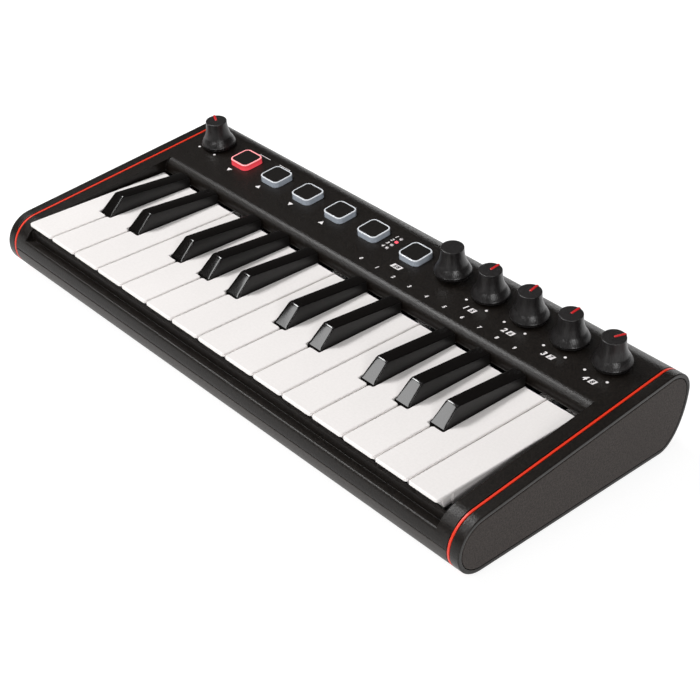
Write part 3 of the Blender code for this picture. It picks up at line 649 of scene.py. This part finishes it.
class KEYBOARD_OT_stripes(Operator):
    """Stripes: a flat ring with rounded outer edges carried round the side outline"""
    bl_idname = "keyboard.stripes"
    bl_label = "Stripes"

    def execute(self, context):
        low, high, ring = STRIPE_LOW[0], STRIPE_HIGH[0], case_sizes().ring
        profile = np.vstack([
            [[low, ring], [low, ring / 2]],
            round_edge((low, 0), (0, 1), (1, 0), 0.2 * MM),
            round_edge((high, 0), (-1, 0), (0, 1), 0.2 * MM),
            [[high, ring / 2], [high, ring]],
        ])
        both_ends(profile, "orange_ring", "stripe", stripe_abs, ring=True)
        return {"FINISHED"}


class KEYBOARD_OT_end_panels(Operator):
    """End panels: flat plates with a small rounded rim that fill the recess of each cap"""
    bl_idname = "keyboard.end_panels"
    bl_label = "End panels"

    def execute(self, context):
        low, high, rim = PANEL_LOW[0], PANEL_HIGH[0], 2.3 * MM
        profile = np.vstack([
            [[low, INNER], [low, rim]],
            round_edge((high, rim), (-1, 0), (0, 1), 0.35 * MM),
            [[high, rim + 0.8 * MM], [high, 8 * MM], [high, INNER]],
        ])
        both_ends(profile, "side_plate", "end_panel", textured_end_abs)
        return {"FINISHED"}


def softened(corners, radii, steps=6):
    """Closed outline of straight edges at right angles whose corners become quarter circles: each starts a
    radius before the corner and ends a radius after it."""
    corners = np.asarray(corners, float)
    radii = np.asarray(radii, float)[:, None, None]
    before = np.roll(corners, 1, 0) - corners
    after = np.roll(corners, -1, 0) - corners
    before = (before / np.linalg.norm(before, axis=1, keepdims=True))[:, None]
    after = (after / np.linalg.norm(after, axis=1, keepdims=True))[:, None]
    turn = arc(0, math.pi / 2, steps)[None, :, None]
    curve = corners[:, None] + radii * (before * (1 - np.sin(turn)) + after * (1 - np.cos(turn)))
    return curve.reshape(-1, 2)


def inset_loop(points, inset):
    """Outline moved inwards: each point goes along the sum of its two edges' inward normals, stretched so
    that both edges move by the inset."""
    ahead = np.roll(points, -1, 0) - points
    ahead /= np.linalg.norm(ahead, axis=1, keepdims=True)
    behind = np.roll(ahead, 1, 0)
    first = np.stack([-behind[:, 1], behind[:, 0]], 1)
    second = np.stack([-ahead[:, 1], ahead[:, 0]], 1)
    stretch = 1 + (first * second).sum(1, keepdims=True)
    return points + inset * (first + second) / stretch


def white_key_plan(node):
    """Outline of a white key from above, rounded, with notches where the frame's black keys stand."""
    keys = key_sizes()
    low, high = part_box(node)
    left, right = low[0], high[0]
    front = low[1] + CASE_DEPTH / 2
    end = keys_end()
    near_left, near_right = left, right
    shoulder = end
    # A black key that comes this near to a side cuts a notch into it
    near = 6 * MM
    for black in BLACK_KEYS:
        black_low, black_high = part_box(black)
        if black_low[0] < left + near and black_high[0] > left:
            near_left = black_high[0] + keys.notch_gap
        if black_high[0] > right - near and black_low[0] < right:
            near_right = black_low[0] - keys.notch_gap
        shoulder = black_low[1] + CASE_DEPTH / 2 - 1.0 * MM
    step = front + keys.skirt_long
    corners = [(left, front), (right, front), (right, step)]
    radii = [keys.corner, keys.corner, 0.5 * MM]
    if near_right < right:
        corners += [(right, shoulder), (near_right, shoulder)]
        radii += [1.4 * MM, 0.6 * MM]
    corners += [(near_right, end), (near_left, end)]
    radii += [0.35 * MM, 0.35 * MM]
    if near_left > left:
        corners += [(near_left, shoulder), (left, shoulder)]
        radii += [0.6 * MM, 1.4 * MM]
    corners += [(left, step)]
    radii += [0.5 * MM]
    return softened(corners, radii)


class KEYBOARD_OT_white_keys(Operator):
    """White keys: plan outline carried up a rounded edge, with a skirt set in below and a tail on the rod"""
    bl_idname = "keyboard.white_keys"
    bl_label = "White keys"

    def execute(self, context):
        keys = key_sizes()
        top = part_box("white_key_01")[1][2] - STAND
        plate = top - keys.plate
        turn = arc(0, math.pi / 2, 6)
        edge_in = keys.round * (1 - np.cos(turn))
        edge_up = top - keys.round * (1 - np.sin(turn))
        # Each level: inset of the skirt and of the wall behind it, height, and where the front is held back
        skirt, wall = keys.skirt_in, keys.wall_in
        foot, knee = top - 7.0 * MM, top - 3.1 * MM
        levels = [(1.9 * MM, 1.2 * MM, foot, 9.6 * MM), (skirt, wall, foot, 9.6 * MM),
                  (skirt, wall, knee, 8.7 * MM), (skirt, wall, plate, 5.4 * MM),
                  (0.3 * MM, wall, plate + 0.01 * MM, 0.0), (0.05 * MM, 0.05 * MM, plate + 0.08 * MM, 0.0),
                  (0.0, 0.0, plate + 0.25 * MM, 0.0), (0.0, 0.0, plate + 0.6 * MM, 0.0)]
        levels += [(i, i, z, 0.0) for i, z in zip(edge_in, edge_up)]
        levels += [(keys.round + 0.35 * MM, keys.round + 0.35 * MM, top, 0.0)]
        for node in WHITE_KEYS:
            plan = white_key_plan(node)
            behind = np.clip((plan[:, 1:] - plan[:, 1].min() - keys.skirt_long) / (0.6 * MM) + 0.5, 0, 1)
            loops = []
            for front_in, back_in, height, held in levels:
                loop = inset_loop(plan, front_in + (back_in - front_in) * behind)
                loops.append(placed(loop[:, 0], np.maximum(loop[:, 1], held), height))
            plate_piece = lofted(node + "_plate", np.stack(loops))
            tail = key_tail(node, 7.0 * MM)
            obj = join(node + "_cap", [plate_piece, tail])
            dress(obj, node, [white_key_abs], [node])
        return {"FINISHED"}


def key_tail(node, wide):
    """Beam behind a key that reaches back over the hinge rod: a stepped, rounded side outline, lower in the
    gap in front of the lip, in line with the key's joint."""
    x = next(joint for joint in frame["joints"] if joint["child"] == node)["pos_m"][0]
    end = keys_end()
    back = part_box(node)[1][1] + CASE_DEPTH / 2
    # Heights of the beam's underside, of its low part under the lip's gap and of its top
    low, dip, high = 22.8 * MM, 25.2 * MM, 30.6 * MM
    front, step = end - 4 * MM, end + 9.0 * MM
    side = softened([(front, low), (back, low), (back, high), (step, high), (step, dip), (front, dip)],
                    np.array([0.3, 1.0, 1.0, 0.3, 0.3, 0.3]) * MM, 4)
    edge = 0.2 * MM
    across = np.array([-wide / 2, -wide / 2 + edge, wide / 2 - edge, wide / 2])
    shrink = np.array([edge, 0.0, 0.0, edge])
    loops = []
    for offset, inset in zip(across, shrink):
        loop = inset_loop(side, inset)
        loops.append(placed(x + offset, loop[:, 0], loop[:, 1]))
    return lofted(node + "_tail", np.stack(loops))


class KEYBOARD_OT_black_keys(Operator):
    """Black keys: a rounded section carried back along a slanting front, a brow and a falling top"""
    bl_idname = "keyboard.black_keys"
    bl_label = "Black keys"

    def execute(self, context):
        keys = key_sizes()
        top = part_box("white_key_01")[1][2] - STAND
        brow = top + keys.black_rise
        foot = top - 5.6 * MM
        end = keys_end() + 0.6 * MM
        for node in BLACK_KEYS:
            low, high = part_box(node)
            half = (high[0] - low[0]) / 2
            front = low[1] + CASE_DEPTH / 2
            # Path of the crown: up the slant, round the brow, down the long top
            slant = np.array([[front, top], [front + keys.black_slant, brow], [end, brow - keys.black_drop]])
            s = np.linspace(0, 1, 7)[:, None]
            legs = slant[::2] - slant[1]
            into, out = slant[1] + 0.9 * MM * legs / np.linalg.norm(legs, axis=1, keepdims=True)
            bend = (1 - s) ** 2 * into + 2 * s * (1 - s) * slant[1] + s ** 2 * out
            run = np.linspace(0, 1, 9)[1:-1, None]
            rise = slant[0] + run * (into - slant[0])
            fall = out + np.linspace(0, 1, 14)[1:, None] * (slant[2] - out)
            path = np.vstack([slant[:1], rise, bend, fall])
            loops = black_sections(middle(node), half, foot, top, path, keys)
            key = lofted(node + "_crown", loops)
            tail = key_tail(node, 6.0 * MM)
            obj = join(node + "_cap", [key, tail])
            dress(obj, node, [black_key_matt, black_key_gloss], [node], 32)
            shine(obj)
        return {"FINISHED"}


def black_sections(x, half, foot, top, path, keys):
    """Sections across a black key, one for each point of its crown's path.

    Each runs from the foot up one side that leans in with the height, over a rounded edge, across a top
    that is crowned by a hair, and down the other side."""
    y, crown = path[:, :1], path[:, 1:]
    lean = half - keys.black_taper * np.clip(crown - top, 0, None) / keys.black_rise
    edge = np.minimum(keys.black_edge, 0.9 * (crown - top) + 0.08 * MM)
    turn = arc(0, math.pi / 2, 4)[None, :]
    right_x = lean - edge * (1 - np.cos(turn))
    right_z = crown - edge * (1 - np.sin(turn))
    across = np.linspace(1, -1, 9)[None, 1:-1]
    top_x = (lean - edge) * across
    top_z = crown + 0.12 * MM * (1 - across ** 2) * np.clip((crown - top) / keys.black_rise, 0, 1)
    side_x = np.full_like(y, half)
    xs = np.hstack([side_x, side_x, right_x, top_x, -right_x[:, ::-1], -side_x, -side_x])
    base_z = np.full_like(y, foot)
    hip_z = np.full_like(y, top - 0.02 * MM)
    zs = np.hstack([base_z, hip_z, right_z, top_z, right_z[:, ::-1], hip_z, base_z])
    ys = np.broadcast_to(y, xs.shape)
    return placed(x + xs, ys, zs)


def shine(obj, across=0.98):
    """Gives the second finish to all faces but the sides, whose normals lie this nearly across the key."""
    mesh = obj.data
    normals = np.zeros(3 * len(mesh.polygons))
    mesh.polygons.foreach_get("normal", normals)
    mesh.polygons.foreach_set("material_index", (np.abs(normals[::3]) < across).astype(np.int32))


def turned(name, x, run, profile):
    """Solid of revolution that stands on the panel: (radius, rise) pairs carried round the axis."""
    around = arc(0, 2 * math.pi, 96)[None, :-1]
    radius, rise = profile[:, :1], profile[:, 1:]
    return lofted(name, on_panel(x + radius * np.cos(around), run + radius * np.sin(around), rise))


def knob_profile(controls, bore, raised):
    """Half section of a knob: a collar, a groove, a flared foot, a waist that narrows by a power curve, a
    rounded rim and a flat top. A bore up the middle leaves room for the encoder's shaft."""
    lift, height = controls.knob_lift + raised, controls.knob_height + raised
    top, base = controls.knob_top, controls.knob_base
    edge = lift + controls.knob_collar
    t = np.linspace(0.03, 0.965, 36)
    waist = top + (base - top) * (1 - t) ** 2.4 + 0.3 * MM * np.sin(math.pi * np.minimum(t / 0.3, 1.0))
    rise = edge + (height - edge) * t
    collar, groove = base - 0.25 * MM, base - 1.1 * MM
    foot = [(base - 0.4 * MM, lift), (collar, lift + 0.12 * MM), (collar, edge - 0.6 * MM),
            (groove, edge - 0.5 * MM), (groove, edge - 0.15 * MM), (base - 0.06 * MM, edge - 0.08 * MM),
            (base, edge), (base + 0.02 * MM, edge + 0.15 * MM)]
    rim = round_edge((top, height), (0, -1), (-1, 0), 0.35 * MM, 5)
    crown = [(top - 0.7 * MM, height), (top - 2.5 * MM, height), (0.4 * MM, height)]
    if bore:
        deep = 8.0 * MM + raised
        inside = [(0.4 * MM, deep), (bore, deep), (bore, 2 * MM + raised), (bore, lift)]
    else:
        inside = [(2.9 * MM, -4.7 * MM), (3.0 * MM, -4.5 * MM), (3.0 * MM, lift)]
    return np.vstack([inside, foot, np.stack([waist, rise], 1), rim, crown])


class KEYBOARD_OT_knobs(Operator):
    """Knobs: turned bodies on the panel, with a raised red pointer on all but the endless one"""
    bl_idname = "keyboard.knobs"
    bl_label = "Knobs"

    def execute(self, context):
        controls = context.scene.control_sizes
        run = CASE_DEPTH - controls.knob_in
        for node in TURNING_KNOBS + ["knob_data"]:
            x = middle(node)
            bore, raised = (3.3 * MM, controls.data_raise) if node == "knob_data" else (0.0, 0.0)
            obj = turned(node + "_body", x, run, knob_profile(controls, bore, raised))
            dress(obj, node, [knob_plastic], [node])
        # Clockwise from straight back, as the pointers stand in the photograph
        for node, degrees in zip(TURNING_KNOBS, (-62, 0, -5, 0, 25)):
            pointer(node, middle(node), run, math.radians(degrees), controls)
        return {"FINISHED"}


def pointer(node, x, run, turn, controls):
    """Raised bar on a knob: a rounded section carried from the middle to just over the rim."""
    wide = controls.pointer_wide / 2
    reach = controls.knob_top + 0.15 * MM
    along = np.array([0.0, 0.15, 0.6, reach / MM - 0.5, reach / MM - 0.12, reach / MM])[:, None] * MM
    narrow = np.array([0.55, 0.9, 1.0, 1.0, 0.95, 0.75])[:, None]
    height = np.array([0.1, 0.19, 0.2, 0.2, 0.17, 0.08])[:, None] * MM
    section = np.array([-1.0, -1.0, -0.8, -0.4, 0.4, 0.8, 1.0, 1.0])[None, :]
    lift = np.array([-1.0, 0.2, 0.8, 1.0, 1.0, 0.8, 0.2, -1.0])[None, :]
    across = wide * narrow * section
    rise = controls.knob_height + np.where(lift > 0, lift * height, -0.8 * MM)
    px = x + along * math.sin(turn) + across * math.cos(turn)
    prun = run + along * math.cos(turn) - across * math.sin(turn)
    obj = lofted(node + "_pointer", on_panel(px, prun, rise))
    dress(obj, node, [pointer_plastic], (), 35)


def rounded_square(half_x, half_y, corner, steps=8):
    """Loop of (x, y) round a rectangle with round corners, one quarter arc for each corner."""
    quarter = arc(0, math.pi / 2, steps)
    turn = (quarter[None, :] + math.pi / 2 * np.arange(4)[:, None])
    sign_x = np.array([1, -1, -1, 1])[:, None]
    sign_y = np.array([1, 1, -1, -1])[:, None]
    px = sign_x * (half_x - corner) + corner * np.cos(turn)
    py = sign_y * (half_y - corner) + corner * np.sin(turn)
    return px.ravel(), py.ravel()


def post(name, x, run, half_x, half_y, corner, levels):
    """Rounded rectangle carried up from the panel through (grow, rise) levels."""
    loops = []
    for grow, rise in levels:
        px, py = rounded_square(half_x + grow, half_y + grow, max(corner + grow, 0.1 * MM))
        loops.append(on_panel(x + px, run + py, rise))
    return lofted(name, np.stack(loops))


class KEYBOARD_OT_buttons(Operator):
    """Buttons: clear rounded caps with a flange below the panel and a dark plate let into the top"""
    bl_idname = "keyboard.buttons"
    bl_label = "Buttons"

    def execute(self, context):
        controls = context.scene.control_sizes
        run = CASE_DEPTH - controls.button_in
        half = controls.button_size / 2
        top = controls.button_rise
        rim = controls.button_rim
        edge = round_edge((0, top), (0, -1), (-1, 0), 0.3 * MM, 4)
        # Stem, flange under the panel and neck: how far the outline grows and rises, in millimetres
        stem = np.array([(-3, -7.7), (-3, -4.4), (1.1, -4.4), (1.1, -2.5), (0, -2.5), (0, 0)]) * MM
        clear = np.vstack([
            stem,
            [(0, top - 0.9 * MM)],
            edge,
            [(-0.45 * MM, top), (-rim + 0.05 * MM, top), (-rim, top - 0.05 * MM), (-rim, top - 0.5 * MM),
             (-rim - 0.5 * MM, top - 0.5 * MM)],
        ])
        plate = np.vstack([
            [(-rim - 0.06 * MM, top - 0.45 * MM), (-rim - 0.06 * MM, top - 0.25 * MM)],
            round_edge((-rim - 0.06 * MM, top - 0.04 * MM), (0, -1), (-1, 0), 0.2 * MM, 3),
            [(-rim - 0.6 * MM, top - 0.04 * MM)],
        ])
        for node in BUTTONS:
            x = middle(node)
            lit = node == LIT_BUTTON
            cap = post(node + "_cap", x, run, half, half, controls.button_corner, clear)
            dress(cap, node, [lit_button if lit else unlit_button],
                  [node])
            top_plate = post(node + "_top", x, run, half, half, controls.button_corner, plate)
            dress(top_plate, node, [button_top_plastic])
        return {"FINISHED"}


class KEYBOARD_OT_lamps(Operator):
    """Lamps: four frosted windows in the panel on a bar below it, one of them lit"""
    bl_idname = "keyboard.lamps"
    bl_label = "Lamps"

    def execute(self, context):
        controls = context.scene.control_sizes
        x = middle("lamp_bar")
        first = CASE_DEPTH - controls.lamp_in
        half_x, half_y = controls.lamp_wide / 2, controls.lamp_deep / 2
        levels = np.vstack([
            [(0, -3.1 * MM), (0, -0.3 * MM)],
            round_edge((0, 0.02 * MM), (0, -1), (-1, 0), 0.12 * MM, 3),
            [(-0.3 * MM, 0.02 * MM)],
        ])
        for k in range(4):
            window = post("lamp_window_%d" % (k + 1), x, first + k * controls.lamp_pitch, half_x, half_y,
                          0.2 * MM, levels)
            dress(window, "case", [lit_lamp if k == LIT_LAMP else unlit_lamp])
        middle_run = first + 1.5 * controls.lamp_pitch
        bar = post("lamp_carrier", x, middle_run, 2.4 * MM, 6.9 * MM, 0.6 * MM,
                   [(-0.2 * MM, -4.0 * MM), (0, -3.8 * MM), (0, -3.3 * MM), (-0.2 * MM, -3.15 * MM)])
        dress(bar, "case", [unlit_lamp], ["lamp_bar"])
        return {"FINISHED"}


# Marks printed on the panel

MARK_LOW = -0.02 * MM
MARK_HIGH = 0.05 * MM


def printed(name, px, py):
    """Thin solid of ink over a loop of panel points."""
    return lofted(name, np.stack([on_panel(px, py, MARK_LOW), on_panel(px, py, MARK_HIGH)]))


def dot(x, run):
    turn = 2 * math.pi * np.arange(20) / 20
    radius = 0.7 * MM
    return printed("dot", x + radius * np.cos(turn), run + radius * np.sin(turn))


def bar(x0, run0, x1, run1):
    """Straight printed line between two panel points."""
    wide = 0.35 * MM
    along = np.array([x1 - x0, run1 - run0])
    side = np.array([-along[1], along[0]]) * wide / (2 * np.linalg.norm(along))
    px = np.array([x0 + side[0], x0 - side[0], x1 - side[0], x1 + side[0]])
    py = np.array([run0 + side[1], run0 - side[1], run1 - side[1], run1 + side[1]])
    return printed("bar", px, py)


def slanted_box(x, run, half_x):
    half_y, lean = 1.5 * MM, 0.35 * MM
    px = np.array([-half_x - lean, half_x - lean, half_x + lean, -half_x + lean])
    py = np.array([-half_y, -half_y, half_y, half_y])
    return printed("box", x + px, run + py)


def triangle(x, run, up):
    size = 2.5 * MM
    px = np.array([-0.62, 0.62, 0.0]) * size
    py = np.array([-0.5, -0.5, 0.5]) * size * (1 if up else -1)
    return printed("triangle", x + px, run + py)


def numeral(text, x, run, height, lift=0.0):
    """Printed numeral: Blender's own font, slanted and thickened, made a mesh and laid on the panel."""
    curve = bpy.data.curves.new("numeral", "FONT")
    curve.body = text
    curve.size = height / 0.7
    curve.shear = 0.25
    curve.offset = 0.05 * height
    curve.extrude = 0.5
    curve.resolution_u = 3
    curve.align_x = "CENTER"
    curve.align_y = "CENTER"
    source = linked("numeral", curve)
    bpy.context.view_layer.update()
    mesh = bpy.data.meshes.new_from_object(source.evaluated_get(bpy.context.evaluated_depsgraph_get()))
    bpy.data.curves.remove(curve)
    points = np.zeros(3 * len(mesh.vertices))
    mesh.vertices.foreach_get("co", points)
    points = points.reshape(-1, 3)
    points[:, :2] -= (points[:, :2].max(0) + points[:, :2].min(0)) / 2
    rise = np.where(points[:, 2] > 0, MARK_HIGH + lift, MARK_LOW + lift)
    laid = on_panel(x + points[:, 0], run + points[:, 1], rise)
    mesh.vertices.foreach_set("co", laid.astype(np.float32).ravel())
    mesh.update()
    return linked("numeral", mesh)


class KEYBOARD_OT_marks(Operator):
    """Marks: dots, numerals, boxes, triangles and bracket lines printed on the panel"""
    bl_idname = "keyboard.marks"
    bl_label = "Marks"

    def execute(self, context):
        knobs = [middle(node) for node in TURNING_KNOBS]
        buttons = [middle(node) for node in BUTTONS]
        lamp_x = middle("lamp_bar")
        white, dark = [], []
        over_box = 0.03 * MM
        # Dots at both ends of each knob's turn; this row and the next fall a little from knob to knob
        white += [dot(knobs[0] - 6.6 * MM, 113.4 * MM), dot(knobs[0] + 6.1 * MM, 113.5 * MM)]
        for k, x in enumerate(knobs[1:]):
            run = (112.0 - 0.55 * k) * MM
            white += [dot(x - 6.2 * MM, run), dot(x + 6.6 * MM, run)]
        # Numbers of the four knobs, and a boxed number beside each
        for k, x in enumerate(knobs[1:]):
            run = (107.6 - 0.45 * k) * MM
            white.append(numeral(str(k + 1), x - 2.2 * MM, run, 2.9 * MM))
            white.append(slanted_box(x + 1.8 * MM, run, 1.6 * MM))
            dark.append(numeral(str(k + 5), x + 1.8 * MM, run, 2.2 * MM, over_box))
        x, run = buttons[5] - 0.6 * MM, 108.1 * MM
        white.append(slanted_box(x, run, 2.9 * MM))
        dark.append(numeral("5/8", x, run, 2.0 * MM, over_box))
        # Row of digits behind the keys
        places = np.array([-3.2, 8.1, 19.4, 30.6, 42.1, 54.0, 65.6, 76.8, 87.6, 98.5]) * MM
        for digit, x in enumerate(places):
            white.append(numeral(str(digit), x, (101.5 - 0.1 * digit) * MM, 1.9 * MM))
        # Numerals beside the lamps, highest in front
        controls = context.scene.control_sizes
        for k in range(4):
            run = CASE_DEPTH - controls.lamp_in + k * controls.lamp_pitch
            white.append(numeral(str(4 - k), lamp_x - 2.8 * MM, run, 1.8 * MM))
        # Triangles in front of the first four buttons
        for k, x in enumerate(buttons[:4]):
            white.append(triangle(x - 1.6 * MM, 109.2 * MM, k % 2 == 1))
        # Bracket line that joins the first two buttons
        back, end = 130.4 * MM, 128.8 * MM
        left, right = buttons[0] - 0.5 * MM, buttons[1] - 0.9 * MM
        white += [bar(left, back, buttons[0] + 7.8 * MM, back), bar(left, back, left, end),
                  bar(buttons[1] - 9.3 * MM, back, right, back), bar(right, back, right, end)]
        weld = 0.0005 * MM
        for name, pieces, finish in (("white_marks", white, white_print), ("dark_marks", dark, black_print)):
            dress(join(name, pieces, weld), "case", [finish], (), 30)
        return {"FINISHED"}


class KEYBOARD_OT_feet(Operator):
    """Feet: turned rubber discs with a rounded lower edge and a shallow cup in the sole"""
    bl_idname = "keyboard.feet"
    bl_label = "Feet"

    def execute(self, context):
        around = arc(0, 2 * math.pi, 64)[None, :-1]
        for k in range(4):
            node = "foot_%d" % (k + 1)
            low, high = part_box(node)
            radius = (high[0] - low[0]) / 2
            # Cup in the sole, sole, rounded edge and side
            cup = np.array([(-3.2, 0.3), (-1.9, 0.3), (-1.5, 0.05), (-1.3, 0.0), (-0.7, 0.0)]) * MM
            profile = np.vstack([
                cup + [radius, 0],
                round_edge((radius, 0.0), (-1, 0), (0, 1), 0.45 * MM, 5),
                [(radius, 0.9 * MM), (radius, high[2])],
            ])
            r, z = profile[:, :1], profile[:, 1:]
            x = (low[0] + high[0]) / 2 + r * np.cos(around)
            y = (low[1] + high[1]) / 2 + r * np.sin(around)
            loops = np.stack([x, y, np.broadcast_to(z, x.shape)], -1)
            dress(lofted(node + "_disc", loops), "case", [black_rubber], [node])
        return {"FINISHED"}


class KEYBOARD_OT_inner_parts(Operator):
    """Inner parts: the frame's own solids for the key bed, rod, strip, boards, shaft and sockets"""
    bl_idname = "keyboard.inner_parts"
    bl_label = "Inner parts"

    def execute(self, context):
        finishes = {"key_bed": frame_plastic, "hinge_rod": drawn_steel, "contact_strip": black_rubber,
                    "control_board": circuit_board, "socket_board": circuit_board,
                    "encoder_shaft": drawn_steel, "usb_socket": drawn_steel, "phone_jack": socket_plastic}
        for node, finish in finishes.items():
            obj = frame["nodes"][node]
            obj.data.materials.clear()
            obj.data.materials.append(finish_of(finish))
        return {"FINISHED"}


def soft_light(name, place, size, power):
    """Softbox at a place, turned to face the keyboard."""
    data = bpy.data.lights.new(name, "AREA")
    data.shape = "RECTANGLE"
    data.size, data.size_y = size
    data.energy = power
    place = Vector(place)
    turn = (Vector((0.0, 0.0, 0.03)) - place).to_track_quat("-Z", "Y").to_matrix().to_4x4()
    linked(name, data).matrix_world = Matrix.Translation(place) @ turn


def studio_camera(settings):
    """Camera from an azimuth, an elevation and a roll round its aim point."""
    azimuth, elevation, roll = settings.azimuth, settings.elevation, settings.roll
    back = Vector((math.sin(azimuth) * math.cos(elevation), -math.cos(azimuth) * math.cos(elevation),
                   math.sin(elevation)))
    level = Vector((math.cos(azimuth), math.sin(azimuth), 0.0))
    right = math.cos(roll) * level + math.sin(roll) * back.cross(level)
    data = bpy.data.cameras.new("camera")
    data.lens = settings.lens
    data.sensor_width = 36.0
    data.clip_start = 0.01
    data.clip_end = 50.0
    obj = linked("camera", data)
    turn = Matrix((right, back.cross(right), back)).transposed().to_4x4()
    obj.matrix_world = Matrix.Translation(Vector(settings.aim) + settings.distance * back) @ turn
    bpy.context.scene.camera = obj


def studio_world():
    """Studio walls by height: grey at the horizon, dark half-way up, bright right overhead."""
    world = bpy.data.worlds.new("studio")
    world.use_nodes = True
    bpy.context.scene.world = world
    direction = add(world, "TexCoord").outputs["Generated"]
    parts = add(world, "SeparateXYZ", {}, {"Vector": direction})
    walls = ((0.1, 0.25), (0.25, 0.12), (0.45, 0.03), (0.78, 0.05), (0.94, 1.0))
    fade = add(world, "ValToRGB", {"stops": [(height, grey(level)) for height, level in walls]},
               {"Fac": parts.outputs["Z"]})
    set_up(world, world.node_tree.nodes["Background"], {"Strength": 0.65}, {"Color": fade})


def pale_floor():
    # Matt white studio paper, lit so evenly that it reads as white
    made, shader, place = material("matt white paper")
    mottle = add(made, "TexNoise", {"Scale": 3.0, "Detail": 2.0}, {"Vector": place})
    tones = add(made, "ValToRGB", {"stops": [(0.0, grey(0.3)), (1.0, grey(0.34))]}, {"Fac": mottle})
    set_up(made, shader, {"Roughness": 0.9, "Specular IOR Level": 0.1, "Emission Color": grey(1.0),
                          "Emission Strength": 0.85}, {"Base Color": tones})
    return made


class KEYBOARD_OT_stage(Operator):
    """Stage: a wide pale floor, soft lights, a grey room and the camera"""
    bl_idname = "keyboard.stage"
    bl_label = "Stage"

    def execute(self, context):
        settings = context.scene.stage_settings
        half, level = 6.0, settings.floor_level
        corners = [(x * half, y * half, level) for x, y in ((-1, -1), (1, -1), (1, 1), (-1, 1))]
        mesh = bpy.data.meshes.new("floor")
        mesh.from_pydata(corners, [], [(0, 1, 2, 3)])
        mesh.materials.append(pale_floor())
        floor = linked("floor", mesh)
        # Shines on the lip and on the ledge's edge
        soft_light("high softbox", (-0.8, -0.13, 1.24), (0.65, 0.3), 13.0)
        # Lights the knobs' flared feet and the keys
        soft_light("front softbox", (0.1, -1.26, 0.88), (0.4, 0.3), 5.5)
        # Lies along the rear edge
        soft_light("rear strip", (-0.62, 1.38, 0.33), (0.8, 0.25), 2.5)
        # Draws the edge lines, from beside the camera
        soft_light("side softbox", (1.17, -0.63, 0.63), (0.4, 0.5), 6.0)
        # Mirrors in the fronts of the black keys
        soft_light("key front softbox", (-0.76, -0.9, 1.02), (0.45, 0.45), 4.5)
        studio_world()
        studio_camera(settings)
        context.scene.view_settings.view_transform = "Standard"
        return {"FINISHED"}


class KEYBOARD_PT_sidebar(Panel):
    """Sidebar panel that lists the sizes, the colours and the pieces"""
    bl_idname = "KEYBOARD_PT_sidebar"
    bl_label = "Mini keyboard"
    bl_space_type = "VIEW_3D"
    bl_region_type = "UI"
    bl_category = "Keyboard"

    def draw(self, context):
        for operator in OPERATORS:
            self.layout.operator(operator.bl_idname)
        for owner in GROUPS:
            group = getattr(context.scene, owner)
            box = self.layout.box()
            for name in group.bl_rna.properties.keys():
                if name not in ("rna_type", "name"):
                    box.prop(group, name, text=name.replace("_", " ").capitalize())


OPERATORS = (KEYBOARD_OT_shells, KEYBOARD_OT_end_caps, KEYBOARD_OT_stripes, KEYBOARD_OT_end_panels,
             KEYBOARD_OT_white_keys, KEYBOARD_OT_black_keys, KEYBOARD_OT_knobs, KEYBOARD_OT_buttons,
             KEYBOARD_OT_lamps, KEYBOARD_OT_marks, KEYBOARD_OT_feet, KEYBOARD_OT_inner_parts,
             KEYBOARD_OT_stage)
GROUPS = {"case_sizes": CaseSizes, "key_sizes": KeySizes, "control_sizes": ControlSizes,
          "keyboard_colours": Colours, "stage_settings": StageSettings}
CLASSES = (*GROUPS.values(), *OPERATORS, KEYBOARD_PT_sidebar)


def register():
    for cls in CLASSES:
        bpy.utils.register_class(cls)
    for name, group in GROUPS.items():
        setattr(bpy.types.Scene, name, PointerProperty(type=group))


def unregister():
    for name in GROUPS:
        delattr(bpy.types.Scene, name)
    for cls in reversed(CLASSES):
        bpy.utils.unregister_class(cls)


def main():
    register()
    for operator in OPERATORS:
        getattr(bpy.ops.keyboard, operator.bl_idname.split(".")[1])()


if __name__ == "__main__":
    main()
